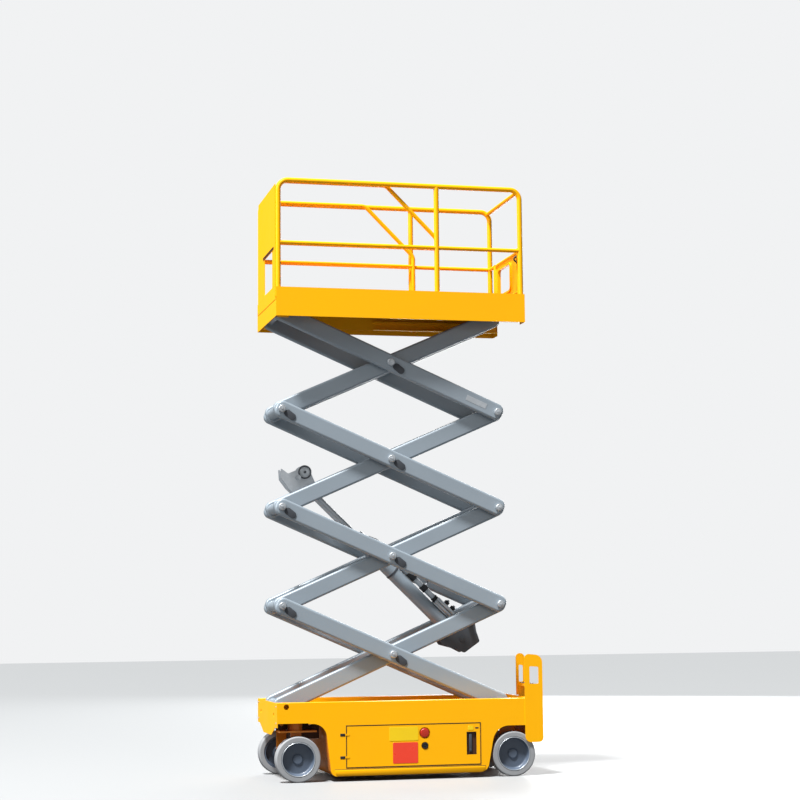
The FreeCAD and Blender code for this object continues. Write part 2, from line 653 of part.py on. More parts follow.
# lift cylinder
def stubs(along, across, radius, cheekY):
    """Round stubs from the inner arms' faces to the cheeks, clear of the cylinder between them."""
    armFace = innerArmY - armWidth / 2 - sleeveGap
    return bothSides(crossBar(along, across, (-armFace, -cheekY), radius))


def cheeks(corners, cheekY, x, z):
    """Two cheek plates either side of an eye, from one outline about (x, z)."""
    moved = [(along + x, across + z, radius) for along, across, radius in corners]
    return bothSides(sidePrism(moved, (-cheekY - lugSheet, -cheekY)))


def eyePins(along, across, cheekY, inner):
    """Pin ends in the cheeks, reaching in as far as inner."""
    return bothSides(crossBar(along, across, (-cheekY - lugSheet - eyePinHead, -inner), eyePinRadius))


def upperLugs():
    """The lugs above arm pair A3 beside the rod's eye, in the arm's own frame; their pins stop short of the eye."""
    plates = cheeks(upperCheek, upperCheekY, 0, 0)
    rings = bothSides(crossBar(*ringPlace, (-upperCheekY - lugSheet, -upperCheekY), ringRadius))
    posts = stubs(*upperPost, upperCheekY)
    pins = eyePins(upperEyeAlong, upperEyeAcross, upperCheekY, upperCheekY - 1.0)
    return [join([plates[i], rings[i], posts[i], pins[i]]) for i in (0, 1)]


def worldOf(along, across, pin):
    """A point of an A arm's frame in the machine's frame."""
    c = math.cos(math.radians(restAngle))
    s = math.sin(math.radians(restAngle))
    return (pin[0] + along * c - across * s, pin[1] + along * s + across * c)


def makeCylinder():
    lower = worldOf(lowerEyeAlong, lowerEyeAcross, stagePins(1)["leftLow"])
    upper = worldOf(upperEyeAlong, upperEyeAcross, stagePins(3)["leftLow"])
    length = math.hypot(upper[0] - lower[0], upper[1] - lower[1])
    lean = math.degrees(math.atan2(upper[1] - lower[1], upper[0] - lower[0]))

    plates = cheeks(lowerCheek, lowerCheekY, lowerEyeAlong, lowerEyeAcross)
    posts = [stubs(lowerEyeAlong + along, lowerEyeAcross + across, radius, lowerCheekY)
             for along, across, radius in lowerPosts]
    pins = eyePins(lowerEyeAlong, lowerEyeAcross, lowerCheekY, eyeHalf - 6.0)
    x, z = stagePins(1)["leftLow"]
    keep("cylinder_bracket", *[turned(join([plates[i], pins[i]] + [post[i] for post in posts]), x, z, restAngle)
                               for i in (0, 1)])

    # drawn along +X from the lower eye, then leaned
    eye = crossBar(0, 0, (-eyeHalf, eyeHalf), eyeRadius)
    tubeOuter = bar((20.0, 0, 0), (barrelLength, 0, 0), barrelRadius)
    glandAt = barrelLength - glandLength
    gland = bar((glandAt, 0, 0), (barrelLength, 0, 0), barrelRadius + glandRim)
    barrel = join([eye, tubeOuter, gland])
    barrel = barrel.cut(bar((boreStart, 0, 0), (barrelLength + 1, 0, 0), rodRadius + shaftFit))
    barrel = barrel.cut(crossBar(0, 0, (-eyeHalf - 1, eyeHalf + 1), eyePinRadius + shaftFit))
    keep("lift_barrel", turned(barrel, lower[0], lower[1], lean))

    # the valve and its tube lie along the barrel's upper side
    block = box(valve["x"], (-valve["y"], valve["y"]), (-barrelRadius - valve["to"], -barrelRadius + valve["from"]))
    tubeZ = -barrelRadius - valve["tubeAt"]
    pipe = bentTube([(valve["x"][1] - 5.0, 0, tubeZ), (glandAt - 60.0, 0, tubeZ), (glandAt - 5.0, 0, -barrelRadius - 6.0)],
                    50.0, valve["tubeRadius"])
    fit = join([block, pipe])
    fit = fit.cut(bar((0, 0, 0), (barrelLength, 0, 0), barrelRadius + shaftFit))
    fit = fit.cut(bar((glandAt - seam, 0, 0), (barrelLength, 0, 0), barrelRadius + glandRim + shaftFit))
    keep("cylinder_valve", turned(fit, lower[0], lower[1], lean))

    rod = bar((rodStart, 0, 0), (length - 20.0, 0, 0), rodRadius)
    rodEye = crossBar(length, 0, (-eyeHalf, eyeHalf), rodEyeRadius)
    rod = join([rod, rodEye]).cut(crossBar(length, 0, (-eyeHalf - 1, eyeHalf + 1), eyePinRadius + shaftFit))
    keep("lift_rod", turned(rod, lower[0], lower[1], lean))


# platform
def makePlatform():
    z = platformZ
    side = box((platformFrontX, platformRearX), (-halfWidth, -halfWidth + boardSheet), (z, z + boardHeight))
    channelX = (channelFromX, platformRearX - boardSheet - 1)
    channelTop = topPivotZ + rollerRadius + shaftFit
    channelLow = topPivotZ - rollerRadius - shaftFit
    channel = join([
        box((platformFrontX + boardSheet, channelX[1]), (-girderInnerY, -girderInnerY + plate), (channelLow - plate, z + deckAt)),
        box(channelX, (-girderInnerY, -rollerIn), (channelTop, channelTop + plate)),
        box(channelX, (-girderInnerY, -rollerIn), (channelLow - plate, channelLow))])
    lugLow = topPivotZ - pivotLug["below"]
    lug = endPrism([(-girderInnerY + 1.0, z + deckAt, 0), (-girderInnerY + 1.0, lugLow, 0),
                    (-rollerIn, lugLow, pivotLug["round"]), (-rollerIn, z + deckAt, 0)],
                   (pivotX - pivotLug["front"], pivotX + pivotLug["rear"]))
    pinHole = crossBar(pivotX, topPivotZ, (-girderInnerY - 1, -rollerIn + 1), shaftRadius + shaftFit)
    channel = join([channel, lug.cut(pinHole)]).cut(
        crossBar(pivotX, topPivotZ, (-rollerOut - 1, -rollerIn + 1), shaftRadius + shaftFit))
    outriggers = [box((x, x + boardSheet), (-halfWidth + boardSheet, -girderInnerY), (z + outriggerFoot, z + deckAt))
                  for x in outriggerX]
    keep("toe_boards", *bothSides(join([side, channel] + outriggers)))

    endTop = z + deckAt - endGap
    front = box((platformFrontX, platformFrontX + boardSheet), (-endInY, endInY), (z, endTop))
    rearX = (platformRearX - boardSheet, platformRearX)
    rear = box(rearX, (-endInY, endInY), (z, z + boardHeight))
    rear = rear.cut(box((rearX[0] - 1, rearX[1] + 1), (-rearOpenY, rearOpenY), (z - 1, endTop)))
    keep("platform_ends", front, rear)
    keep("deck", box((platformFrontX + boardSheet + seam, rearX[0] - seam), (-endInY, endInY),
                     (z + deckAt + seam, z + deckAt + deckSheet)))


def makeGuardrails():
    z = platformZ
    foot = z + railFoot
    top = z + railTop
    leftX = platformFrontX + railRadius + seam
    rightX = platformRearX - boardSheet - railRadius - seam
    mid = z + midRailAt
    y = -railY

    hoop = bentTube([(leftX, y, foot), (leftX, y, top), (rightX, y, top), (rightX, y, foot)], railCorner, railRadius)
    middle = bar((leftX, y, mid), (rightX, y, mid), midRailRadius)
    post = bar((centrePostX, y, foot), (centrePostX, y, top), railRadius)
    rail = join([hoop, middle, post])
    cornerIn = railCorner * (1 - math.sqrt(0.5))
    cross = bar((rightX - cornerIn, -railY, top - cornerIn), (rightX - cornerIn, railY, top - cornerIn), midRailRadius)
    latchPost = bar((rightX, latchY, foot), (rightX, latchY, mid), midRailRadius)
    latchBar = bar((rightX, latchY, mid), (rightX, railY, mid), midRailRadius)
    keep("end_rails", cross.cut(join(bothSides(hoop))), join([latchPost, latchBar]).cut(mirrored(rail)))

    hingeY = -railY + railRadius + gateRadius + gateHinge
    gateTop = mid
    gateLow = z + boardHeight + gateFoot
    freeY = latchY - midRailRadius - gateRadius - gateFree
    over, under, radius = gatePin["over"], gatePin["under"], gatePin["radius"]
    stile = bar((rightX, hingeY, gateLow - under), (rightX, hingeY, gateTop + over), gateRadius)
    loop = bentTube([(rightX, hingeY, gateTop), (rightX, freeY, gateTop), (rightX, freeY, gateLow),
                     (rightX, hingeY, gateLow)], gateBend, gateRadius - 1.0)
    lowZ, highZ = gateLow + gateWindow["low"], gateTop - gateWindow["top"]

    def windowPrism(grow, half):
        y0, y1 = hingeY + gateWindow["hinge"] - grow, freeY - gateWindow["free"] + grow
        r = gateWindow["round"] + grow
        return endPrism([(y0, lowZ - grow, r), (y1, lowZ - grow, r), (y1, highZ + grow, r), (y0, highZ + grow, r)],
                        (rightX - half, rightX + half))

    half = gateWindow["sheet"] / 2
    sheet = box((rightX - half, rightX + half), (hingeY, freeY), (gateLow, gateTop))
    gate = join([stile, loop, sheet, windowPrism(gateWindow["rim"], gateRadius - 2.0)]).cut(windowPrism(0, gateRadius))
    lugs = []
    for low, high, pin in ((gateLow - under - shaftFit - gatePin["lug"], gateLow - under - shaftFit,
                            gateLow - under + gatePin["reach"]),
                           (gateTop + over + shaftFit, gateTop + over + shaftFit + gatePin["lug"],
                            gateTop + over - gatePin["reach"])):
        middleZ = (low + high) / 2
        gate = gate.cut(bar((rightX, hingeY, min(pin, low) - 1), (rightX, hingeY, max(pin, high) + 1), radius + pressFit))
        wide, lugRound = gatePin["lugHalf"], gatePin["lugRound"]
        lugs.append(planPrism([(rightX - wide, -railY, 0), (rightX + wide, -railY, 0),
                               (rightX + wide, hingeY + wide, lugRound), (rightX - wide, hingeY + wide, lugRound)],
                              (low, high)))
        lugs.append(bar((rightX, hingeY, middleZ), (rightX, hingeY, pin), radius))
    keep("guardrails", join([rail] + lugs), mirrored(rail))
    keep("gate", gate)


def makeExtension():
    z = platformZ
    deckZ = z + extensionDeckAt
    endX = platformFrontX
    frontX = endX + boardSheet
    tailX = innerPostX + innerRailRadius + tailRoom
    wide = innerRailY + innerRailRadius
    underZ = z + deckAt + deckSheet + shaftFit
    sheet = box((frontX, tailX), (-wide, wide), (deckZ - deckSheet, deckZ))
    skid = box((frontX, tailX), (-wide, -wide + deckSkid), (underZ, deckZ - deckSheet))
    endBoard = box((endX, frontX), (-wide, wide), (underZ, z + boardHeight))
    keep("extension_deck", join([sheet, endBoard] + bothSides(skid)))

    top = z + railTop
    mid = z + midRailAt
    postX = frontX + innerRailRadius + seam
    y = -innerRailY
    hoop = bentTube([(postX, y, deckZ + seam), (postX, y, top), (tailTopX, y, top), (innerPostX, y, z + tailBendAt),
                     (innerPostX, y, deckZ + seam)], railCorner - 10.0, innerRailRadius)
    middle = bar((postX, y, mid), (innerPostX, y, mid), midRailRadius - 2.0)
    keep("extension_rails", *bothSides(join([hoop, middle])))
    window = panelWindow
    panel = box((endX, frontX), (-wide, wide), (z + boardHeight + seam, z + panelTop))
    nearY, farY, r = window["near"] - wide, wide - window["far"], window["round"]
    lowZ, highZ = (z + at for at in window["z"])
    hole = endPrism([(nearY, lowZ, r), (farY, lowZ, r), (farY, highZ, r), (nearY, highZ, r)], (endX - 1, frontX + 1))
    keep("end_panel", panel.cut(hole))


makeChassis()
makeLadder()
makeDoors()
makeAxles()
makeSteering()
for wheelName, wheelX, wheelSide in (("front_near", frontWheelX, -1), ("front_far", frontWheelX, 1),
                                     ("rear_near", rearWheelX, -1), ("rear_far", rearWheelX, 1)):
    makeWheel(wheelName, wheelX, wheelSide)
makeArms()
makeCylinder()
makePlatform()
makeGuardrails()
makeExtension()

os.makedirs("parts", exist_ok=True)
for name, shape in nodes.items():
    shape.exportStep("parts/%s.step" % name)
print(len(nodes), "sub-parts")
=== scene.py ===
import json
import math

import bmesh
import bpy
from mathutils import Matrix, Vector


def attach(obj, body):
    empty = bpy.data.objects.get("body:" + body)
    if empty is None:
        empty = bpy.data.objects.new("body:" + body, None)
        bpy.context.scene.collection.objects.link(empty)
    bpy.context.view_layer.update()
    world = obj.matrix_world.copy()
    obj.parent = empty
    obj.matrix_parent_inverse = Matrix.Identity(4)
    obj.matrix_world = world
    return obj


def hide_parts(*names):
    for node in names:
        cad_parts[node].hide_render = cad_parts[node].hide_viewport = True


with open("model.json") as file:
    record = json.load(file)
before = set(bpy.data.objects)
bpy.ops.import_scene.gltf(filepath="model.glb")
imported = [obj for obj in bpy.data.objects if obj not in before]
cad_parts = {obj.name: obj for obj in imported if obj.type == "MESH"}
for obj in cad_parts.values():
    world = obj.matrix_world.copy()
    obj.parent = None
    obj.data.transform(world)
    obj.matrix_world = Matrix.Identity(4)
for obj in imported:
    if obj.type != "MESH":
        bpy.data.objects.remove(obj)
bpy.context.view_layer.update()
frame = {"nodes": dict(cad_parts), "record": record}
nodes = frame["nodes"]
pieces = []                                    # every piece that is added here
print("stage 1: frame loaded,", len(nodes), "nodes")


# camera, sky, floor and lamps

photoCamera = {
    "place": (-2.8875, -12.108, 1.0756),
    "yaw": -0.2367, "pitch": 0.1129, "roll": -0.0097,      # radians
    "lens": 83.55, "sensor": 36.0,                         # millimetres
    "sightEnd": 200.0,
}
studio = {
    "floorSize": 60.0, "floorSeen": "#9EA0A1", "floorBounce": "#505254", "floorRoughness": 0.55,
    "skyColour": "#F4F6F8", "skyStrength": 0.20,
    "backdrop": "#F1F2F3", "backdropStrength": 1.0,
    "keyStrength": 7.0, "keyTowards": (0.30, 0.28, -0.91), "keySoftness": 8.0,      # degrees
    "aim": (0.0, 0.0, 1.9),
    "softLamps": (                             # name, watts, place, size
        ("frontEndFill", 900.0, (-8.5, -2.5, 7.5), 4.0),
        ("nearSideCard", 70.0, (4.5, -11.5, 3.4), 6.0),
        ("farSideFill", 650.0, (5.0, 9.5, 3.6), 6.0),
    ),
}
colourMix = {"first": 6, "second": 7, "result": 2}         # sockets of a Mix node that mixes colours


def toLinear(hexColour):
    # An sRGB hex colour as the linear values that nodes take.
    values = []
    for i in (1, 3, 5):
        c = int(hexColour[i:i + 2], 16) / 255
        values.append(c / 12.92 if c <= 0.04045 else ((c + 0.055) / 1.055) ** 2.4)
    return (*values, 1.0)


def addNode(tree, kind, settings=None, **links):
    # Adds a node. A setting is an input's value, by name or number, or else the node's own property.
    # A link is an output socket for the input of that name, or for input 0, 1 or 2 as pin0, pin1 or pin2.
    made = tree.nodes.new(kind)
    for key, value in (settings or {}).items():
        if isinstance(key, int) or key in made.inputs.keys():
            made.inputs[key].default_value = value
        else:
            setattr(made, key, value)
    for key, socket in links.items():
        target = int(key[3:]) if key.startswith("pin") else key
        tree.links.new(socket, made.inputs[target])
    return made


def makeCamera():
    yawCos, yawSin = math.cos(photoCamera["yaw"]), math.sin(photoCamera["yaw"])
    pitchCos, pitchSin = math.cos(photoCamera["pitch"]), math.sin(photoCamera["pitch"])
    rollCos, rollSin = math.cos(photoCamera["roll"]), math.sin(photoCamera["roll"])
    level = Vector((yawCos, yawSin, 0))
    ahead = Vector((-yawSin, yawCos, 0))
    up = Vector((0, 0, 1))
    aim = ahead * pitchCos + up * pitchSin
    top = up * pitchCos - ahead * pitchSin
    right = level * rollCos + top * rollSin
    over = top * rollCos - level * rollSin
    data = bpy.data.cameras.new("photoCamera")
    data.lens = photoCamera["lens"]
    data.sensor_width = photoCamera["sensor"]
    data.clip_end = photoCamera["sightEnd"]
    camera = bpy.data.objects.new("photoCamera", data)
    bpy.context.scene.collection.objects.link(camera)
    turn = Matrix((right, over, -aim)).transposed().to_4x4()
    camera.matrix_world = Matrix.Translation(photoCamera["place"]) @ turn
    bpy.context.scene.camera = camera


def makeSky():
    # The camera sees the backdrop's colour, and the machine is lit by the weaker sky.
    scene = bpy.context.scene
    scene.view_settings.view_transform = "Standard"
    world = bpy.data.worlds.new("studio")
    scene.world = world
    world.use_nodes = True
    tree = world.node_tree
    tree.nodes.clear()
    path = addNode(tree, "ShaderNodeLightPath")
    sky = addNode(tree, "ShaderNodeBackground", {"Color": toLinear(studio["skyColour"]),
                                                 "Strength": studio["skyStrength"]})
    seen = addNode(tree, "ShaderNodeBackground", {"Color": toLinear(studio["backdrop"]),
                                                  "Strength": studio["backdropStrength"]})
    swap = addNode(tree, "ShaderNodeMixShader", pin0=path.outputs["Is Camera Ray"],
                   pin1=sky.outputs[0], pin2=seen.outputs[0])
    addNode(tree, "ShaderNodeOutputWorld", Surface=swap.outputs[0])


def makeFloor():
    # The floor looks pale to the camera and throws less light up at the machine.
    bpy.ops.mesh.primitive_plane_add(size=studio["floorSize"], location=(0, 0, 0))
    floor = bpy.context.object
    floor.name = "floor"
    paint = bpy.data.materials.new("paleFloor")
    paint.use_nodes = True
    tree = paint.node_tree
    shader = tree.nodes["Principled BSDF"]
    path = addNode(tree, "ShaderNodeLightPath")
    tone = addNode(tree, "ShaderNodeMix", {"data_type": "RGBA",
                                           colourMix["first"]: toLinear(studio["floorBounce"]),
                                           colourMix["second"]: toLinear(studio["floorSeen"])},
                   Factor=path.outputs["Is Camera Ray"])
    tree.links.new(tone.outputs[colourMix["result"]], shader.inputs["Base Color"])
    shader.inputs["Roughness"].default_value = studio["floorRoughness"]
    floor.data.materials.append(paint)


def placeLamp(name, light, place, towards):
    lamp = bpy.data.objects.new(name, light)
    bpy.context.scene.collection.objects.link(lamp)
    lamp.location = place
    lamp.rotation_euler = towards.to_track_quat("-Z", "Y").to_euler()


def makeLamps():
    key = bpy.data.lights.new("key", "SUN")
    key.energy = studio["keyStrength"]
    key.angle = math.radians(studio["keySoftness"])
    placeLamp("key", key, (0, 0, 0), Vector(studio["keyTowards"]))
    for name, watts, place, lampSize in studio["softLamps"]:
        soft = bpy.data.lights.new(name, "AREA")
        soft.energy = watts
        soft.size = lampSize
        placeLamp(name, soft, place, Vector(studio["aim"]) - Vector(place))


makeCamera()
makeSky()
makeFloor()
makeLamps()
print("stage 2: camera, floor and light")


# finishes: each is named for what the surface is and how it was made, or for the painted shade it stands in for
# Peel is the size of the dimples in the skin and patch that of the slow drift in colour, both in millimetres.
# The skin of paint and plastic is drawn coarser than the real one, so that it shows.

mmPerMetre = 1000
paints = {
    # baked powder: a deep, nearly matt yellow that keeps its colour in full light
    "yellowPowderCoat": {"base": "#FFB800", "dusty": "#FAB000", "roughness": 0.42, "coat": 0.0,
                         "peel": 3.0, "patch": 420.0, "bump": 0.10, "specular": 0.2},
    # painted shade: the yellow powder coat deepened to a browner orange for the inner parts, which stand in
    # shade, with a soft shine along its bends
    "yellowCoatShadedOrange": {"base": "#E98A12", "dusty": "#D77A0E", "roughness": 0.45, "coat": 0.15,
                         "peel": 3.0, "patch": 300.0, "bump": 0.10},
    # glossy baked powder: a cool grey with broad, soft highlights along the arms
    "greyPowderCoat": {"base": "#919CA5", "dusty": "#86919A", "roughness": 0.36, "coat": 0.30,
                       "peel": 3.0, "patch": 350.0, "bump": 0.10},
    # baked powder: a dull dark grey with only a faint shine
    "charcoalPowderCoat": {"base": "#44484E", "dusty": "#3A3E44", "roughness": 0.50, "coat": 0.1,
                           "peel": 3.0, "patch": 120.0, "bump": 0.12},
    # sprayed wheel paint: a slate blue, a little dusty in the dish
    "slateDiscPaint": {"base": "#4E5969", "dusty": "#586474", "roughness": 0.42, "coat": 0.2,
                       "peel": 2.5, "patch": 60.0, "bump": 0.12},
    # self-adhesive film: flat, even and paler than the door round it
    "paleYellowFilm": {"base": "#F5CE05", "dusty": "#ECC404", "roughness": 0.40, "coat": 0.0,
                       "peel": 2.0, "patch": 60.0, "bump": 0.02},
    # self-adhesive film: a flat, bright red with a slight gloss
    "redFilm": {"base": "#F0442A", "dusty": "#E83C24", "roughness": 0.32, "coat": 0.2,
                "peel": 2.0, "patch": 60.0, "bump": 0.02},
    # moulded ABS: an even red with a small, clear highlight on its crown
    "redMouldedPlastic": {"base": "#B82A12", "dusty": "#AA2410", "roughness": 0.30, "coat": 0.2,
                          "peel": 1.5, "patch": 20.0, "bump": 0.03},
    # moulded rubber and ABS: nearly black, with a grained skin that scatters the light
    "blackMouldedPlastic": {"base": "#1C1D1F", "dusty": "#232427", "roughness": 0.48, "coat": 0.0,
                            "peel": 1.2, "patch": 30.0, "bump": 0.15},
    # painted shade: a matt brown on powder coat that stands in for the shade in recesses and behind parts
    "paintedShadeBrown": {"base": "#4E2C12", "dusty": "#43260F", "roughness": 0.55, "coat": 0.0,
                        "peel": 2.0, "patch": 40.0, "bump": 0.08},
    # moulded rubber that leaves no marks: a chalky grey with no shine
    "greyTyreRubber": {"base": "#9A9C9E", "dusty": "#8B8D90", "roughness": 0.72, "coat": 0.0,
                       "peel": 2.2, "patch": 40.0, "bump": 0.25},
}
paintWork = {"driftDetail": 3.0, "skinDetail": 2.0, "skinDeep": 0.0006, "driftFrom": 0.3, "driftTo": 0.7,
             "glossier": 0.06, "duller": 0.08, "coatRoughness": 0.12, "specular": 0.5}
metals = {                                     # the grain is in millimetres
    # bright zinc plating: a pale, cloudy shine
    "zincPlatedSteel": {"base": "#CDD2D6", "stain": "#AEB4BA", "roughness": 0.33, "grain": 1.5,
                        "metallic": 0.65},
    # hard chrome, ground and polished: a smooth, silky light along the rod
    "chromedRodSteel": {"base": "#C2C8CC", "stain": "#B6BCC1", "roughness": 0.36, "grain": 4.0,
                        "metallic": 0.40},
}
metalWork = {"cloud": 25.0, "cloudDetail": 4.0, "lineDetail": 1.0, "relief": 0.08, "deep": 0.0004}
# the deck's colours: orange paint darkened to a deep brown-orange, painted shade of its underside
treadPlate = {                                 # the pitch is in millimetres
    "raised": "#A8520A", "ground": "#8C4008", "pitch": 26.0, "roughness": 0.5,
    "rows": ((45.0, 0.0), (-45.0, 0.5)),       # degrees, shift in pitches
    "slimness": 0.34, "edge": (0.16, 0.24), "relief": 0.7, "deep": 0.0015,
}
madeFinishes = {}


def perMetre(millimetres):
    return mmPerMetre / millimetres


def startMaterial(name):
    material = bpy.data.materials.new(name)
    material.use_nodes = True
    tree = material.node_tree
    shader = tree.nodes["Principled BSDF"]
    place = addNode(tree, "ShaderNodeTexCoord").outputs["Object"]
    return material, tree, shader, place


def paintedFinish(name):
    # Powder coat, film, plastic or rubber: an even colour that drifts a little, with its fine skin as bump.
    f = paints[name]
    material, tree, shader, place = startMaterial(name)
    drift = addNode(tree, "ShaderNodeTexNoise", {"Scale": perMetre(f["patch"]),
                                                 "Detail": paintWork["driftDetail"]}, Vector=place)
    colours = addNode(tree, "ShaderNodeMix", {"data_type": "RGBA",
                                              colourMix["first"]: toLinear(f["base"]),
                                              colourMix["second"]: toLinear(f["dusty"])},
                      Factor=drift.outputs["Fac"])
    tree.links.new(colours.outputs[colourMix["result"]], shader.inputs["Base Color"])
    skin = addNode(tree, "ShaderNodeTexNoise", {"Scale": perMetre(f["peel"]),
                                                "Detail": paintWork["skinDetail"]}, Vector=place)
    relief = addNode(tree, "ShaderNodeBump", {"Strength": f["bump"], "Distance": paintWork["skinDeep"]},
                     Height=skin.outputs["Fac"])
    tree.links.new(relief.outputs[0], shader.inputs["Normal"])
    rubbed = addNode(tree, "ShaderNodeMapRange", {"From Min": paintWork["driftFrom"],
                                                  "From Max": paintWork["driftTo"],
                                                  "To Min": f["roughness"] - paintWork["glossier"],
                                                  "To Max": f["roughness"] + paintWork["duller"]},
                     Value=drift.outputs["Fac"])
    tree.links.new(rubbed.outputs[0], shader.inputs["Roughness"])
    shader.inputs["Specular IOR Level"].default_value = f.get("specular", paintWork["specular"])
    shader.inputs["Coat Weight"].default_value = f["coat"]
    shader.inputs["Coat Roughness"].default_value = paintWork["coatRoughness"]
    return material


def metalFinish(name):
    # Plated steel: a cloudy tone, with fine grinding lines as bump.
    f = metals[name]
    material, tree, shader, place = startMaterial(name)
    cloud = addNode(tree, "ShaderNodeTexNoise", {"Scale": perMetre(metalWork["cloud"]),
                                                 "Detail": metalWork["cloudDetail"]}, Vector=place)
    colours = addNode(tree, "ShaderNodeMix", {"data_type": "RGBA",
                                              colourMix["first"]: toLinear(f["base"]),
                                              colourMix["second"]: toLinear(f["stain"])},
                      Factor=cloud.outputs["Fac"])
    tree.links.new(colours.outputs[colourMix["result"]], shader.inputs["Base Color"])
    lines = addNode(tree, "ShaderNodeTexNoise", {"Scale": perMetre(f["grain"]),
                                                 "Detail": metalWork["lineDetail"]}, Vector=place)
    relief = addNode(tree, "ShaderNodeBump", {"Strength": metalWork["relief"],
                                              "Distance": metalWork["deep"]}, Height=lines.outputs["Fac"])
    tree.links.new(relief.outputs[0], shader.inputs["Normal"])
    shader.inputs["Metallic"].default_value = f["metallic"]
    shader.inputs["Roughness"].default_value = f["roughness"]
    return material


def treadFinish(name):
    # Rolled tread plate, painted: slim raised lozenges in two directions, paler on top than the ground between.
    # Both colours are orange paint darkened to a deep brown-orange as painted shade of the deck's underside.
    material, tree, shader, place = startMaterial(name)
    top, foot = treadPlate["edge"]
    bumps = []
    for angle, shift in treadPlate["rows"]:
        turn = addNode(tree, "ShaderNodeMapping",
                       {"Rotation": (0, 0, math.radians(angle)),
                        "Location": (shift * treadPlate["pitch"] / mmPerMetre, 0, 0),
                        "Scale": (1.0, treadPlate["slimness"], 1.0)}, Vector=place)
        cells = addNode(tree, "ShaderNodeTexVoronoi", {"Scale": perMetre(treadPlate["pitch"]),
                                                       "Randomness": 0.0, "feature": "F1"},
                        Vector=turn.outputs[0])
        bumps.append(addNode(tree, "ShaderNodeMapRange", {"From Min": top, "From Max": foot,
                                                          "To Min": 1.0, "To Max": 0.0},
                             Value=cells.outputs["Distance"]))
    raised = addNode(tree, "ShaderNodeMath", {"operation": "MAXIMUM"}, pin0=bumps[0].outputs[0],
                     pin1=bumps[1].outputs[0])
    relief = addNode(tree, "ShaderNodeBump", {"Strength": treadPlate["relief"],
                                              "Distance": treadPlate["deep"]}, Height=raised.outputs[0])
    tree.links.new(relief.outputs[0], shader.inputs["Normal"])
    colours = addNode(tree, "ShaderNodeMix", {"data_type": "RGBA",
                                              colourMix["first"]: toLinear(treadPlate["ground"]),
                                              colourMix["second"]: toLinear(treadPlate["raised"])},
                      Factor=raised.outputs[0])
    tree.links.new(colours.outputs[colourMix["result"]], shader.inputs["Base Color"])
    shader.inputs["Roughness"].default_value = treadPlate["roughness"]
    return material


def finish(name):
    # Makes a finish when it is first asked for.
    if name not in madeFinishes:
        if name in paints:
            madeFinishes[name] = paintedFinish(name)
        elif name in metals:
            madeFinishes[name] = metalFinish(name)
        else:
            madeFinishes[name] = treadFinish(name)
    return madeFinishes[name]


slotFinishes = {                               # the record's slot and the finish that shows there
    "yellow_enamel": "yellowPowderCoat",
    # the inner parts' orange is painted shade on the yellow powder coat
    "orange_enamel": "yellowCoatShadedOrange",
    "grey_enamel": "greyPowderCoat",
    "charcoal_enamel": "charcoalPowderCoat",
    "zinc_steel": "zincPlatedSteel",
    "chromed_rod": "chromedRodSteel",
    "grey_rubber": "greyTyreRubber",
    "slate_enamel": "slateDiscPaint",
    "red_plastic": "redMouldedPlastic",
    "black_plastic": "blackMouldedPlastic",
    "checker_deck": "treadPlateWithPaintedShade",
}
for part in frame["record"]["subparts"]:
    shown = nodes[part["node"]]
    shown.data.materials.clear()
    shown.data.materials.append(finish(slotFinishes[part["material_slot"]]))
print("stage 3: finishes on the frame")


# modelling helpers: each works on one selected mesh

seatGap = 0.0001                               # what lies on a face stands this far off it
cutRoom = 0.01                                 # a cutter runs this far past both faces
overlap = 0.001                                # screwed pieces reach this far into each other
nearlyAlong = 0.9                              # the cosine from which something points along a line
sharpFrom = 35.0                               # degrees from which an edge is bevelled
barResolution = 4                              # Blender's steps in a bent bar's roundness
mergeWithin = 0.00001                          # corners of a bent bar that are this near become one
bothSides = ((-1, "Near"), (1, "Far"))
skirtFace = 0.380                              # outer face of the doors and skirts, from the middle


def onlySelect(piece):
    bpy.ops.object.select_all(action="DESELECT")
    piece.select_set(True)
    bpy.context.view_layer.objects.active = piece


def startBlock(alongX, alongY, alongZ):
    # A cube primitive brought to its size between two values on each axis.
    bpy.ops.object.select_all(action="DESELECT")
    spans = (alongX, alongY, alongZ)
    bpy.ops.mesh.primitive_cube_add(size=1.0, location=[(a + b) / 2 for a, b in spans])
    piece = bpy.context.object
    piece.scale = [b - a for a, b in spans]
    bpy.ops.object.transform_apply(location=True, rotation=True, scale=True)
    return piece


def startRound(start, end, radius, sides=32):
    # A cylinder primitive between two points.
    bpy.ops.object.select_all(action="DESELECT")
    a, b = Vector(start), Vector(end)
    turn = (b - a).to_track_quat("Z", "Y").to_euler()
    bpy.ops.mesh.primitive_cylinder_add(vertices=sides, radius=radius, depth=(b - a).length,
                                        location=(a + b) / 2, rotation=turn)
    piece = bpy.context.object
    bpy.ops.object.transform_apply(location=True, rotation=True, scale=True)
    return piece


def startRing(middle, radius, wire, steps):
    # A torus primitive round the y axis; the steps go round the ring and round its wire.
    bpy.ops.object.select_all(action="DESELECT")
    bpy.ops.mesh.primitive_torus_add(major_radius=radius, minor_radius=wire, major_segments=steps[0],
                                     minor_segments=steps[1], location=middle,
                                     rotation=(math.pi / 2, 0, 0))
    return bpy.context.object


def toSide(side, depths):
    # Two distances from the middle as y values on the near side, -1, or the far side, 1, lowest first.
    return sorted(side * depth for depth in depths)


def onSkirt(side, thick):
    # The y values of a sheet that lies on the outside of a door or skirt.
    return toSide(side, (skirtFace + seatGap, skirtFace + thick))


def widened(span, room=cutRoom):
    return span[0] - room, span[1] + room


def facing(*way):
    # A test for pick: the faces that look this way.
    return lambda middle, normal: normal.dot(Vector(way)) > nearlyAlong


def runsAlongY(middle, way):
    # A test for pick: the edges that run across the machine.
    return abs(way.y) > nearlyAlong


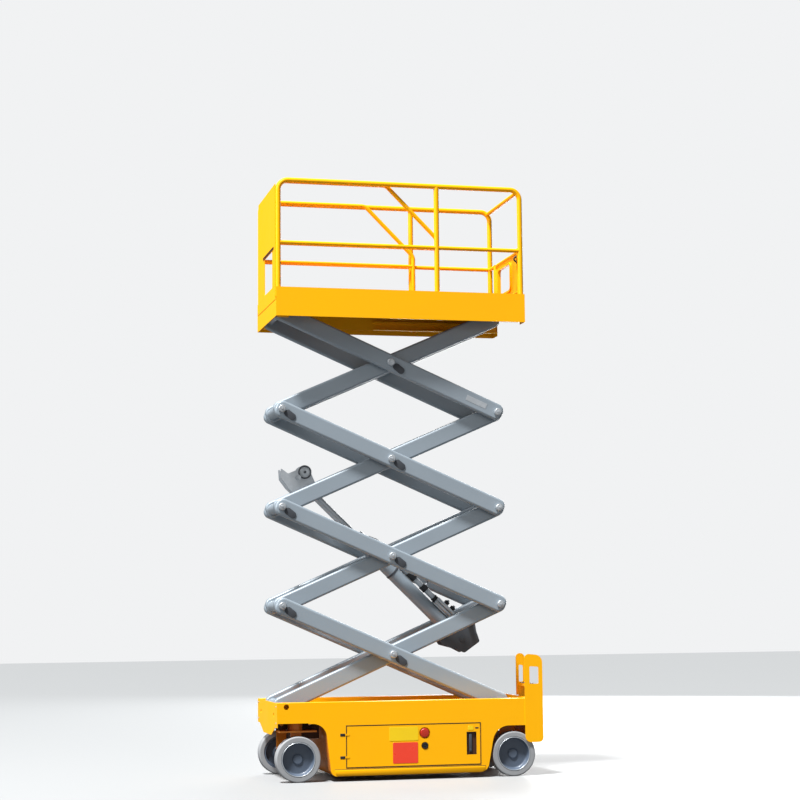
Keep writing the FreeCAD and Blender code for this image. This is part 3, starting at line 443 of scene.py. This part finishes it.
def pick(piece, faces=None, edges=None, verts=None):
    # Opens the piece in edit mode with only the wanted faces, edges or corners selected.
    onlySelect(piece)
    bpy.ops.object.mode_set(mode="EDIT")
    bpy.ops.mesh.select_mode(type="FACE" if faces else "EDGE" if edges else "VERT")
    bpy.ops.mesh.select_all(action="DESELECT")
    mesh = bmesh.from_edit_mesh(piece.data)
    if faces:
        for face in mesh.faces:
            face.select_set(bool(faces(face.calc_center_median(), face.normal)))
    if edges:
        for edge in mesh.edges:
            a, b = edge.verts[0].co, edge.verts[1].co
            edge.select_set(bool(edges((a + b) / 2, (b - a).normalized())))
    if verts:
        for vert in mesh.verts:
            vert.select_set(bool(verts(vert.co)))
    mesh.select_flush_mode()
    bmesh.update_edit_mesh(piece.data)


def pull(step):
    # Extrudes the picked faces by a step.
    bpy.ops.mesh.extrude_region_move(TRANSFORM_OT_translate={"value": step})


def closeEdit():
    bpy.ops.object.mode_set(mode="OBJECT")


def softenEdges(piece, width, segments=2):
    # A bevel modifier on sharp edges, applied.
    onlySelect(piece)
    bevel = piece.modifiers.new("soften", "BEVEL")
    bevel.width = width
    bevel.segments = segments
    bevel.angle_limit = math.radians(sharpFrom)
    bpy.ops.object.modifier_apply(modifier=bevel.name)


def cutOut(piece, cutter):
    # Takes the cutter's volume out of the piece and drops the cutter.
    onlySelect(piece)
    cut = piece.modifiers.new("cut", "BOOLEAN")
    cut.object = cutter
    cut.solver = "EXACT"
    bpy.ops.object.modifier_apply(modifier=cut.name)
    bpy.data.objects.remove(cutter)


def bentBar(points, radius):
    # A round bar or hose along its points: a bevelled curve made a mesh.
    run = bpy.data.curves.new("run", "CURVE")
    run.dimensions = "3D"
    line = run.splines.new("POLY")
    line.points.add(len(points) - 1)
    for i, spot in enumerate(points):
        line.points[i].co = (*spot, 1.0)
    run.bevel_depth = radius
    run.bevel_resolution = barResolution
    run.use_fill_caps = True
    piece = bpy.data.objects.new("run", run)
    bpy.context.scene.collection.objects.link(piece)
    onlySelect(piece)
    bpy.ops.object.convert(target="MESH")
    piece = bpy.context.object
    bpy.ops.object.mode_set(mode="EDIT")
    bpy.ops.mesh.select_all(action="SELECT")
    bpy.ops.mesh.remove_doubles(threshold=mergeWithin)
    bpy.ops.mesh.normals_make_consistent(inside=False)
    closeEdit()
    return piece


def arcPoints(start, control, end, count):
    a, b, c = Vector(start), Vector(control), Vector(end)
    shares = [i / count for i in range(count + 1)]
    return [a * (1 - t) ** 2 + b * 2 * t * (1 - t) + c * t * t for t in shares]


def joinAll(parts):
    onlySelect(parts[0])
    for part in parts:
        part.select_set(True)
    if len(parts) > 1:
        bpy.ops.object.join()
    return bpy.context.object


def keepPiece(piece, name, body, slotName, finishName=None, smooth=30.0):
    # Names the piece, gives it its slot's finish or another, and lets it ride on its body.
    onlySelect(piece)
    bpy.ops.object.transform_apply(location=True, rotation=True, scale=True)
    bpy.context.scene.cursor.location = (0, 0, 0)
    bpy.ops.object.origin_set(type="ORIGIN_CURSOR")
    bpy.ops.object.shade_smooth_by_angle(angle=math.radians(smooth))
    piece.name = name
    piece.data.materials.clear()
    piece.data.materials.append(finish(finishName or slotFinishes[slotName]))
    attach(piece, body)
    pieces.append(piece)


# near tray door: blank plates, stop button, key switch

doorPlates = {
    "thick": 0.0012, "cornerSteps": 5, "edge": 0.0003,
    "plates": (                                # name, x, z, corner, slot, finish
        ("upperPlate", (-0.1495, 0.0405), (0.246, 0.333), 0.008, "yellow_enamel", "paleYellowFilm"),
        ("lowerPlate", (-0.1275, 0.0385), (0.104, 0.236), 0.008, "red_plastic", "redFilm"),
        ("latchPlate", (0.372, 0.408), (0.304, 0.330), 0.00416, "yellow_enamel", "paleYellowFilm"),
    ),
}
for name, wide, high, corner, slotName, film in doorPlates["plates"]:
    sheet = startBlock(wide, onSkirt(-1, doorPlates["thick"]), high)
    pick(sheet, edges=runsAlongY)
    bpy.ops.mesh.bevel(offset=corner, segments=doorPlates["cornerSteps"])
    closeEdit()
    softenEdges(sheet, doorPlates["edge"], 1)
    keepPiece(sheet, name, "door_near", slotName, film)

stopButton = {"centre": (0.0845, 0.293), "radius": 0.0300, "sides": 48, "front": -0.3842,
              "underside": -0.3600, "crown": 0.0065, "crownSteps": 6, "stem": 0.018, "stemLong": 0.010}
x, z = stopButton["centre"]
dome = startRound((x, stopButton["underside"], z), (x, stopButton["front"], z), stopButton["radius"],
                  stopButton["sides"])
pick(dome, faces=facing(0, -1, 0))
bpy.ops.mesh.bevel(offset=stopButton["crown"], segments=stopButton["crownSteps"], affect="EDGES")
closeEdit()
pick(dome, faces=facing(0, 1, 0))
bpy.ops.mesh.inset(thickness=stopButton["radius"] - stopButton["stem"])
pull((0, stopButton["stemLong"], 0))
closeEdit()
keepPiece(dome, "stopDome", "door_near", "red_plastic", smooth=40.0)
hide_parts("stop_button")

keyBezel = {"centre": (0.0855, 0.212), "radius": 0.0185, "inner": 0.0125, "sides": 40, "front": -0.3838,
            "back": -0.3655, "sunk": 0.005, "plugRim": 0.006, "plugHigh": 0.003, "edge": 0.0008}
x, z = keyBezel["centre"]
bezel = startRound((x, keyBezel["back"], z), (x, keyBezel["front"], z), keyBezel["radius"],
                   keyBezel["sides"])
pick(bezel, faces=facing(0, -1, 0))
bpy.ops.mesh.inset(thickness=keyBezel["radius"] - keyBezel["inner"])
pull((0, keyBezel["sunk"], 0))
bpy.ops.mesh.inset(thickness=keyBezel["plugRim"])
pull((0, -keyBezel["plugHigh"], 0))
closeEdit()
softenEdges(bezel, keyBezel["edge"])
keepPiece(bezel, "keyBezel", "door_near", "black_plastic")
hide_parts("key_switch")

# the latch of each door: an open tray let into the sheet, and a lever on a round foot in it; the tray's dark
# brown is painted shade of the recess
latch = {
    "x": (0.3630, 0.4280), "z": (0.1485, 0.2925), "deep": 0.0135, "sheet": 0.0012,
    "leverX": (0.3800, 0.3990), "leverZ": (0.165, 0.272), "leverDeep": (0.0085, 0.0030),
    "tipIn": 0.004, "tipUp": 0.012, "leverEdge": 0.0022,
    "footUp": 0.012, "footDeep": (0.0125, 0.002), "footRadius": 0.0075, "footSides": 24,
    "footEdge": 0.001,
}
for side, where in bothSides:
    door = "door_" + where.lower()
    tray = startBlock(latch["x"], toSide(side, (skirtFace - latch["deep"], skirtFace)), latch["z"])
    pick(tray, faces=facing(0, side, 0))
    bpy.ops.mesh.delete(type="FACE")
    closeEdit()
    onlySelect(tray)
    shell = tray.modifiers.new("sheet", "SOLIDIFY")
    shell.thickness = latch["sheet"]
    shell.offset = -1.0
    bpy.ops.object.modifier_apply(modifier=shell.name)
    keepPiece(tray, "latchTray" + where, door, "black_plastic", "paintedShadeBrown")
    inner, outer = latch["leverDeep"]
    lever = startBlock(latch["leverX"], toSide(side, (skirtFace - inner, skirtFace - outer)),
                       latch["leverZ"])
    pick(lever, faces=facing(0, 0, 1))
    pull((0, -side * latch["tipIn"], latch["tipUp"]))
    closeEdit()
    softenEdges(lever, latch["leverEdge"], 3)
    inner, outer = latch["footDeep"]
    x, z = sum(latch["leverX"]) / 2, latch["leverZ"][0] + latch["footUp"]
    foot = startRound((x, side * (skirtFace - inner), z), (x, side * (skirtFace - outer), z),
                      latch["footRadius"], latch["footSides"])
    softenEdges(foot, latch["footEdge"])
    keepPiece(joinAll([lever, foot]), "latchLever" + where, door, "charcoal_enamel")

latchDash = {"x": (0.420, 0.443), "z": (0.313, 0.321), "thick": 0.0010, "edge": 0.0004}
dash = startBlock(latchDash["x"], onSkirt(-1, latchDash["thick"]), latchDash["z"])
softenEdges(dash, latchDash["edge"], 1)
keepPiece(dash, "latchDash", "door_near", "black_plastic")

# a rubber seal behind the gap round each door
doorSeal = {"x": (-0.4760, 0.4635), "z": (0.0780, 0.3560), "y": (0.3720, 0.3748),
            "holeX": (-0.4271, 0.4533), "holeZ": (0.0882, 0.3458), "edge": 0.0007}
for side, where in bothSides:
    deep = toSide(side, doorSeal["y"])
    seal = startBlock(doorSeal["x"], deep, doorSeal["z"])
    cutOut(seal, startBlock(doorSeal["holeX"], widened(deep), doorSeal["holeZ"]))
    softenEdges(seal, doorSeal["edge"])
    keepPiece(seal, "doorSeal" + where, "chassis", "black_plastic")

# a thin rubber edging round each door opening, open at the hinges, and a dark leaf beside each hinge
doorEdging = {"holeX": (-0.4295, 0.4555), "holeZ": (0.0860, 0.3480), "width": 0.0036, "thick": 0.0011,
              "hingeX": (-0.4800, -0.4200), "hingeHeights": (0.1460, 0.2880), "hingeHigh": 0.0090,
              "hingeRoom": 0.0027}
hingeLeaf = {"x": (-0.4700, -0.4384), "over": 0.0040, "thick": 0.0016, "edge": 0.0006}
for side, where in bothSides:
    deep = onSkirt(side, doorEdging["thick"])
    edging = startBlock(widened(doorEdging["holeX"], doorEdging["width"]), deep,
                        widened(doorEdging["holeZ"], doorEdging["width"]))
    cutOut(edging, startBlock(doorEdging["holeX"], widened(deep), doorEdging["holeZ"]))
    leaves = []
    for z in doorEdging["hingeHeights"]:
        hinge = (z, z + doorEdging["hingeHigh"])
        cutOut(edging, startBlock(doorEdging["hingeX"], widened(deep),
                                  widened(hinge, doorEdging["hingeRoom"])))
        leaf = startBlock(hingeLeaf["x"], onSkirt(side, hingeLeaf["thick"]),
                          widened(hinge, hingeLeaf["over"]))
        softenEdges(leaf, hingeLeaf["edge"])
        leaves.append(leaf)
    keepPiece(joinAll([edging] + leaves), "doorEdging" + where, "chassis", "black_plastic")
print("stage 4: tray doors")


# chassis: folded rails along the skirts' lower edge

skirtRail = {"x": (-0.5060, 0.4850), "z": (0.0400, 0.0740), "thick": 0.0032, "corner": 0.0260,
             "cornerSteps": 8, "step": 0.0040, "crown": 0.0006, "edge": 0.0010}
skirtRailFoot = skirtRail["z"][0]
for side, where in bothSides:
    rail = startBlock(skirtRail["x"], onSkirt(side, skirtRail["thick"]), skirtRail["z"])
    pick(rail, edges=lambda c, d: runsAlongY(c, d) and c.z < skirtRailFoot + skirtRail["thick"])
    bpy.ops.mesh.bevel(offset=skirtRail["corner"], segments=skirtRail["cornerSteps"])
    closeEdit()
    pick(rail, faces=facing(0, side, 0))
    bpy.ops.mesh.inset(thickness=skirtRail["step"])
    pull((0, side * skirtRail["crown"], 0))
    closeEdit()
    softenEdges(rail, skirtRail["edge"])
    keepPiece(rail, "skirtRail" + where, "chassis", "yellow_enamel")

# painted shadow: a black strip along the top of each folded rail
railTopShadow = {"x": (-0.5080, 0.4890), "z": (0.0743, 0.0772), "thick": 0.0015, "edge": 0.0005}
for side, where in bothSides:
    strip = startBlock(railTopShadow["x"], onSkirt(side, railTopShadow["thick"]), railTopShadow["z"])
    softenEdges(strip, railTopShadow["edge"])
    keepPiece(strip, "railTopShadow" + where, "chassis", "black_plastic")

# webs that close the front axle's bay above the kingpin plates, dark brown as painted shade
axleWeb = {
    "webs": (((-0.8530, -0.7780), 0.3225), ((-0.6970, -0.5700), 0.2620)),       # x, foot
    "y": (0.1850, 0.1895), "top": 0.3988, "edge": 0.0008,
    "hole": 0.014, "holeZ": 0.3606, "holeSides": 24,
}
for side, where in bothSides:
    deep = toSide(side, axleWeb["y"])
    cutFrom, cutTo = widened(deep)
    webs = []
    for along, foot in axleWeb["webs"]:
        web = startBlock(along, deep, (foot, axleWeb["top"]))
        x, z = sum(along) / 2, axleWeb["holeZ"]
        cutOut(web, startRound((x, cutFrom, z), (x, cutTo, z), axleWeb["hole"], axleWeb["holeSides"]))
        softenEdges(web, axleWeb["edge"], 1)
        webs.append(web)
    keepPiece(joinAll(webs), "axleWeb" + where, "chassis", "orange_enamel", "paintedShadeBrown")

# bolts: a washer and a hex head, all in shares of the bolt's size

boltShape = {"washerHigh": 0.28, "washerRadius": 1.55, "washerSides": 24, "headFrom": 0.27, "headTo": 1.25,
             "headRadius": 1.15, "edge": 0.12}


def bolt(place, outward, boltSize):
    # A bolt head that stands out of a face.
    at, out = Vector(place), Vector(outward)
    washer = startRound(at + out * seatGap, at + out * boltSize * boltShape["washerHigh"],
                        boltSize * boltShape["washerRadius"], boltShape["washerSides"])
    head = startRound(at + out * boltSize * boltShape["headFrom"], at + out * boltSize * boltShape["headTo"],
                      boltSize * boltShape["headRadius"], 6)
    softenEdges(head, boltSize * boltShape["edge"], 1)
    return joinAll([washer, head])


endPlateBolts = {
    "y": 0.345,
    "sets": (                                  # name, x, heights, outward, size
        ("frontPlateBolts", -0.8765, (0.372, 0.476), -1, 0.0038),
        ("rearPlateBolts", 0.8376, (0.352, 0.476), 1, 0.0050),
    ),
}
for name, x, heights, outward, boltSize in endPlateBolts["sets"]:
    heads = [bolt((x, side * endPlateBolts["y"], z), (outward, 0, 0), boltSize)
             for side, where in bothSides for z in heights]
    keepPiece(joinAll(heads), name, "chassis", "zinc_steel", smooth=25.0)

# rubber treads on the ladder's rungs, every other strip across them raised

rungTread = {"heights": (0.260, 0.370, 0.480, 0.585), "x": (0.8465, 0.8745), "y": (-0.370, 0.000),
             "thick": 0.003, "strips": 25, "ribInset": 0.0015, "ribHigh": 0.0012}
treadStart, treadEnd = rungTread["y"]
stripWide = (treadEnd - treadStart) / rungTread["strips"]
pads = []
for z in rungTread["heights"]:
    pad = startBlock(rungTread["x"], rungTread["y"], (z + seatGap, z + rungTread["thick"]))
    pick(pad, edges=runsAlongY)
    bpy.ops.mesh.subdivide(number_cuts=rungTread["strips"] - 1)
    closeEdit()
    pick(pad, faces=lambda c, n: n.z > nearlyAlong and int((c.y - treadStart) / stripWide) % 2 == 0)
    bpy.ops.mesh.inset(thickness=rungTread["ribInset"])
    pull((0, 0, rungTread["ribHigh"]))
    closeEdit()
    pads.append(pad)
keepPiece(joinAll(pads), "rungTreads", "chassis", "black_plastic")
print("stage 5: chassis and ladder")


# wheels: a bright zinc band inside each tyre, a rim lip whose brightness is partly a painted highlight of the
# rim

rimBandAndHighlight = {
    "axleHigh": 0.144, "radius": 0.1055, "wire": 0.0030, "y": 0.3705, "steps": (64, 10),
    "wheels": (                                # wheel, x, side
        ("front_near", -0.7375, -1), ("front_far", -0.7375, 1),
        ("rear_near", 0.6845, -1), ("rear_far", 0.6845, 1),
    ),
}
for wheel, x, side in rimBandAndHighlight["wheels"]:
    band = startRing((x, side * rimBandAndHighlight["y"], rimBandAndHighlight["axleHigh"]), rimBandAndHighlight["radius"], rimBandAndHighlight["wire"],
                     rimBandAndHighlight["steps"])
    keepPiece(band, "rimBandAndHighlight_" + wheel, "wheel_" + wheel, "zinc_steel", smooth=60.0)

# steering: a rubber boot on each of the tie rod's pins
pinBoot = {"x": -0.6375, "y": 0.270, "z": (0.2322, 0.2500), "radius": 0.015, "neck": 0.62,
           "tipHigh": 0.004, "edge": 0.0018}
foot, top = pinBoot["z"]
for side, where in bothSides:
    y = side * pinBoot["y"]
    boot = startRound((pinBoot["x"], y, foot), (pinBoot["x"], y, top), pinBoot["radius"])
    pick(boot, faces=facing(0, 0, 1))
    bpy.ops.transform.resize(value=(pinBoot["neck"], pinBoot["neck"], 1.0))
    pull((0, 0, pinBoot["tipHigh"]))
    closeEdit()
    softenEdges(boot, pinBoot["edge"], 3)
    keepPiece(boot, "pinBoot" + where, "yoke_" + where.lower(), "black_plastic")
print("stage 6: wheels and steering")


# scissor joints: a dark keeper plate below each pin, its dark oblong painted shadow of the pin head, and a
# domed cap on its head

scissor = {"pivot": (-0.8165, 0.474), "length": 1.5959, "lean": 23.6, "armFace": 0.240,
           "headFace": 0.256}
pivotX, pivotZ = scissor["pivot"]
lean = math.radians(scissor["lean"])
leanCos, leanSin = math.cos(lean), math.sin(lean)
stageHigh = scissor["length"] * leanSin
slideX = pivotX + scissor["length"] * leanCos


def jointPlace(stage, kind):
    # x and z of a pin: the stages are counted from the chassis.
    stageFoot = pivotZ + (stage - 1) * stageHigh
    if kind == "leftHigh":
        return pivotX, stageFoot + stageHigh
    if kind == "rightLow":
        return slideX, stageFoot
    return (pivotX + slideX) / 2, stageFoot + stageHigh / 2


def armPlace(stage, along, across, y):
    # A point beside an A arm, from the stage's lower left pin.
    stageFoot = pivotZ + (stage - 1) * stageHigh
    return (pivotX + along * leanCos - across * leanSin, y, stageFoot + along * leanSin + across * leanCos)


# the plate's dark oblong, falling down and right from each pin, is painted shadow of the pin head
keeperShadow = {"radius": 0.0235, "start": 0.049, "reach": 0.038, "thick": 0.005, "fall": 38.0, "edge": 0.0018}
pinCap = {"radius": 0.0235, "sides": 40, "high": 0.007, "round": 0.0055, "roundSteps": 4, "bolt": 0.006}
fittedJoints = {                               # stage: the joints with a keeper plate that is also the pin's painted shadow, and with a cap
    1: (("centre", "leftHigh"), ("centre", "leftHigh")),
    2: (("centre", "leftHigh"), ("centre", "leftHigh", "rightLow")),
    3: (("centre", "leftHigh"), ("centre", "leftHigh", "rightLow")),
    4: (("centre",), ("centre", "rightLow")),
}
keeperShadowFall = math.radians(keeperShadow["fall"])
fallWay = Vector((math.cos(keeperShadowFall), 0, -math.sin(keeperShadowFall)))
for stage, (keeperShadowJoints, capJoints) in fittedJoints.items():
    plates, caps = [], []
    for side, where in bothSides:
        outward = Vector((0, side, 0))
        for kind in keeperShadowJoints:
            x, z = jointPlace(stage, kind)
            middle = Vector((x, side * scissor["armFace"], z)) + fallWay * keeperShadow["start"]
            oblong = startRound(middle + outward * seatGap, middle + outward * keeperShadow["thick"],
                                keeperShadow["radius"])
            pick(oblong, verts=lambda co: (co - middle).dot(fallWay) > 0)
            bpy.ops.transform.translate(value=fallWay * keeperShadow["reach"])
            closeEdit()
            softenEdges(oblong, keeperShadow["edge"])
            plates.append(oblong)
        for kind in capJoints:
            x, z = jointPlace(stage, kind)
            y = side * scissor["headFace"]
            capTop = y + side * pinCap["high"]
            cap = startRound((x, y + side * seatGap, z), (x, capTop, z), pinCap["radius"], pinCap["sides"])
            pick(cap, faces=facing(0, side, 0))
            bpy.ops.mesh.bevel(offset=pinCap["round"], segments=pinCap["roundSteps"], affect="EDGES")
            closeEdit()
            caps.append(cap)
            caps.append(bolt((x, capTop, z), (0, side, 0), pinCap["bolt"]))
    arms = f"scissor_b{stage}"
    keepPiece(joinAll(plates), f"keeperShadowPlates{stage}", arms, "charcoal_enamel")
    keepPiece(joinAll(caps), f"pinCaps{stage}", arms, "zinc_steel", smooth=40.0)

# a small blank plate near the top arm's right end, turned to the arm's lean
armPlate = {"stage": 4, "along": (-0.235, -0.085), "across": (-0.016, 0.020), "thick": 0.0012}
x, z = jointPlace(armPlate["stage"], "rightLow")
blank = startBlock([x + along for along in armPlate["along"]],
                   toSide(-1, (scissor["armFace"] + seatGap, scissor["armFace"] + armPlate["thick"])),
                   [z + across for across in armPlate["across"]])
onlySelect(blank)
bpy.ops.object.mode_set(mode="EDIT")
bpy.ops.mesh.select_all(action="SELECT")
bpy.ops.transform.rotate(value=-lean, orient_axis="Y", center_override=(x, -scissor["armFace"], z))
closeEdit()
keepPiece(blank, "armPlate", "scissor_b4", "zinc_steel")
print("stage 7: scissor joints")


# lift cylinder: a ring and a washer on each upper lug, and a clip on each end of its pins

lugBoss = {"place": (0.264, 0.145), "face": 0.056,
           "ring": 0.0400, "ringWire": 0.0055, "ringOut": 0.002, "ringSteps": (56, 12),
           "nut": 0.010, "nutOut": (0.0055, 0.013), "nutEdge": 0.0012,
           "washer": 0.028, "washerThick": 0.006, "washerSides": 40, "washerEdge": 0.002}
nutFrom, nutTo = lugBoss["nutOut"]
for side, where in bothSides:
    spot = Vector(armPlace(3, *lugBoss["place"], side * lugBoss["face"]))
    outward = Vector((0, side, 0))
    ring = startRing(spot + outward * lugBoss["ringOut"], lugBoss["ring"], lugBoss["ringWire"],
                     lugBoss["ringSteps"])
    nut = startRound(spot + outward * nutFrom, spot + outward * nutTo, lugBoss["nut"], 6)
    softenEdges(nut, lugBoss["nutEdge"], 1)
    keepPiece(joinAll([ring, nut]), "bossRing" + where, "scissor_a3", "charcoal_enamel", smooth=50.0)
    washer = startRound(spot + outward * seatGap, spot + outward * lugBoss["washerThick"],
                        lugBoss["washer"], lugBoss["washerSides"])
    softenEdges(washer, lugBoss["washerEdge"], 3)
    keepPiece(washer, "bossWasher" + where, "scissor_a3", "zinc_steel", smooth=40.0)

pinClip = {
    "radius": 0.0185, "thick": 0.003, "edge": 0.001,
    "pins": (                                  # name, stage, place beside the arm, face, body, slot
        ("lower", 1, (1.303, -0.126), 0.073, "scissor_a1", "charcoal_enamel"),
        ("upper", 3, (0.209, 0.1305), 0.064, "scissor_a3", "zinc_steel"),
    ),
}
for side, where in bothSides:
    outward = Vector((0, side, 0))
    for name, stage, place, face, body, slotName in pinClip["pins"]:
        spot = Vector(armPlace(stage, *place, side * face))
        clip = startRound(spot + outward * seatGap, spot + outward * pinClip["thick"], pinClip["radius"])
        softenEdges(clip, pinClip["edge"])
        keepPiece(clip, name + "PinClip" + where, body, slotName)

lowerEye, upperEye = [Vector(armPlace(stage, *place, 0.0))
                      for name, stage, place, face, body, slotName in pinClip["pins"]]
axis = (upperEye - lowerEye).normalized()
upSide = Vector((-axis.z, 0, axis.x))
if upSide.x < 0:
    upSide = -upSide                           # the side that the valve lies on, towards the rear


def onBarrel(along, up, y=0.0):
    # A point by the cylinder: along it from its lower eye, up to the valve's side, and across.
    return lowerEye + axis * along + upSide * up + Vector((0, y, 0))


# a wiper ring where the rod leaves the barrel
rodWiper = {"along": 0.985, "radius": 0.034, "bore": 0.0262, "sides": 40, "thick": 0.006, "edge": 0.0012}
wiper = startRound(lowerEye + axis * (rodWiper["along"] + seatGap),
                   lowerEye + axis * (rodWiper["along"] + rodWiper["thick"]),
                   rodWiper["radius"], rodWiper["sides"])
for way in (axis, -axis):
    pick(wiper, faces=facing(*way))
    bpy.ops.mesh.inset(thickness=rodWiper["radius"] - rodWiper["bore"])
    bpy.ops.mesh.delete(type="FACE")
    closeEdit()
onlySelect(wiper)
bpy.ops.object.mode_set(mode="EDIT")
bpy.ops.mesh.select_all(action="DESELECT")
bpy.ops.mesh.select_mode(type="EDGE")
bpy.ops.mesh.select_non_manifold()
bpy.ops.mesh.bridge_edge_loops()
bpy.ops.mesh.select_all(action="SELECT")
bpy.ops.mesh.normals_make_consistent(inside=False)
closeEdit()
softenEdges(wiper, rodWiper["edge"])
keepPiece(wiper, "rodWiper", "barrel", "black_plastic", smooth=40.0)

# solenoids on the valve, bright cartridges along its sides
coil = {"at": (0.178, 0.232), "up": (0.0965, 0.126), "radius": 0.018, "edge": 0.003,
        "stem": 0.009, "stemTop": 0.136, "stemEdge": 0.001}
cartridge = {"along": (0.158, 0.292), "up": (0.0600, 0.0820), "y": 0.0424, "radius": 0.0078, "sides": 24,
             "edge": 0.0012, "nut": 0.0082, "nutLong": 0.012, "nutEdge": 0.0008}
coils, fittings = [], []
coilFoot, coilTop = coil["up"]
for at in coil["at"]:
    winding = startRound(onBarrel(at, coilFoot), onBarrel(at, coilTop), coil["radius"])
    softenEdges(winding, coil["edge"])
    coils.append(winding)
    stem = startRound(onBarrel(at, coilTop - overlap), onBarrel(at, coil["stemTop"]), coil["stem"], 6)
    softenEdges(stem, coil["stemEdge"], 1)
    fittings.append(stem)
start, end = cartridge["along"]
for side, where in bothSides:
    y = side * cartridge["y"]
    for up in cartridge["up"]:
        tube = startRound(onBarrel(start, up, y), onBarrel(end, up, y), cartridge["radius"],
                          cartridge["sides"])
        softenEdges(tube, cartridge["edge"])
        nut = startRound(onBarrel(end - overlap, up, y), onBarrel(end + cartridge["nutLong"], up, y),
                         cartridge["nut"], 6)
        softenEdges(nut, cartridge["nutEdge"], 1)
        fittings += [tube, nut]
keepPiece(joinAll(coils), "valveCoils", "barrel", "black_plastic")
keepPiece(joinAll(fittings), "valveFittings", "barrel", "zinc_steel")

# the tube beside the barrel: bright sleeves between black couplings with a collar at each end
sideTube = {
    "up": 0.0770, "sides": 40,
    "sleeves": ((0.3240, 0.3960, 0.0195), (0.4350, 0.5010, 0.0185), (0.5590, 0.7000, 0.0180)),
    "couplings": ((0.3020, 0.3250, 0.0225), (0.3950, 0.4360, 0.0240), (0.5000, 0.5600, 0.0235)),
    "collarLong": 0.008, "collarOut": 0.0015, "sleeveEdge": 0.0015, "couplingEdge": 0.0010,
}                                              # each sleeve and coupling: start, end, radius


def onSideTube(start, end, radius):
    up = sideTube["up"]
    return startRound(onBarrel(start, up), onBarrel(end, up), radius, sideTube["sides"])


sleeves, couplings = [], []
for start, end, radius in sideTube["sleeves"]:
    sleeve = onSideTube(start, end, radius)
    softenEdges(sleeve, sideTube["sleeveEdge"])
    sleeves.append(sleeve)
keepPiece(joinAll(sleeves), "tubeSleeves", "barrel", "zinc_steel", smooth=40.0)
collarLong = sideTube["collarLong"]
for start, end, radius in sideTube["couplings"]:
    couplings.append(onSideTube(start, end, radius))
    for at in (start, end - collarLong):
        couplings.append(onSideTube(at, at + collarLong, radius + sideTube["collarOut"]))
for coupling in couplings:
    softenEdges(coupling, sideTube["couplingEdge"])
keepPiece(joinAll(couplings), "tubeCouplings", "barrel", "black_plastic", smooth=40.0)

# hydraulic hose, fixed in a half ring from one coupling to the next: 12 mm across, its bend 57 mm in radius
valveHose = {"radius": 0.0060, "middle": 0.4750, "up": 0.1000, "bend": 0.0570, "steps": 32,
             "nut": 0.0098, "nutSunk": 0.002, "nutHigh": 0.014, "nutEdge": 0.0010}
hoseLine = []
for i in range(valveHose["steps"] + 1):
    turn = math.pi * i / valveHose["steps"]
    hoseLine.append(onBarrel(valveHose["middle"] - valveHose["bend"] * math.cos(turn),
                             valveHose["up"] + valveHose["bend"] * math.sin(turn)))
keepPiece(bentBar(hoseLine, valveHose["radius"]), "valveHose", "barrel", "black_plastic", smooth=50.0)
hoseNuts = []
for spot in (hoseLine[0], hoseLine[-1]):
    nut = startRound(spot - upSide * valveHose["nutSunk"], spot + upSide * valveHose["nutHigh"],
                     valveHose["nut"], 6)
    softenEdges(nut, valveHose["nutEdge"], 1)
    hoseNuts.append(nut)
keepPiece(joinAll(hoseNuts), "hoseNuts", "barrel", "zinc_steel")

# clamps that hold the thin pipe to the barrel
pipeClamp = {"at": (0.640, 0.830), "long": 0.014, "strap": 0.0494, "strapSides": 48, "saddle": 0.0175,
             "saddleUp": 0.077, "edge": 0.0006}
clamps = []
halfClamp = axis * pipeClamp["long"] / 2
saddleUp = upSide * pipeClamp["saddleUp"]
for at in pipeClamp["at"]:
    base = lowerEye + axis * at
    strap = startRound(base - halfClamp, base + halfClamp, pipeClamp["strap"], pipeClamp["strapSides"])
    saddle = startRound(base - halfClamp + saddleUp, base + halfClamp + saddleUp, pipeClamp["saddle"])
    for shape in (strap, saddle):
        softenEdges(shape, pipeClamp["edge"], 1)
        clamps.append(shape)
keepPiece(joinAll(clamps), "pipeClamps", "barrel", "charcoal_enamel", smooth=40.0)
print("stage 8: lift cylinder")


# platform: the gate's latch, a plate with a bent pull

gateLatch = {"x": (0.7790, 0.7838), "y": (-0.3080, -0.2840), "z": (3.3950, 3.4520), "edge": 0.0012,
             "grip": 0.0055, "gripY": -0.296, "gripZ": (3.4440, 3.4030), "reach": 0.036, "sunk": 0.002,
             "steps": 14}
backing = startBlock(gateLatch["x"], gateLatch["y"], gateLatch["z"])
softenEdges(backing, gateLatch["edge"])
plateX, y = gateLatch["x"][0], gateLatch["gripY"]
gripTop, gripFoot = gateLatch["gripZ"]
gripLine = arcPoints((plateX + gateLatch["sunk"], y, gripTop),
                     (plateX - gateLatch["reach"], y, (gripTop + gripFoot) / 2),
                     (plateX + gateLatch["sunk"], y, gripFoot), gateLatch["steps"])
gripBar = bentBar(gripLine, gateLatch["grip"])
keepPiece(joinAll([backing, gripBar]), "gateLatch", "gate", "black_plastic", smooth=40.0)

# an angle along the top of the end panel's window, dark brown as painted shade
panelTrim = {"x": (-0.8806, -0.8766), "y": (-0.285, 0.125), "z": (3.4335, 3.4500), "lip": 0.0030,
             "sunk": 0.0012, "edge": 0.0006}
trim = startBlock(panelTrim["x"], panelTrim["y"], panelTrim["z"])
pick(trim, faces=facing(-1, 0, 0))
bpy.ops.mesh.inset(thickness=panelTrim["lip"])
pull((panelTrim["sunk"], 0, 0))
closeEdit()
softenEdges(trim, panelTrim["edge"], 1)
keepPiece(trim, "panelTrim", "extension", "black_plastic", "paintedShadeBrown")
print("stage 9: platform;", len(pieces), "pieces,", sum(len(p.data.polygons) for p in pieces), "faces")
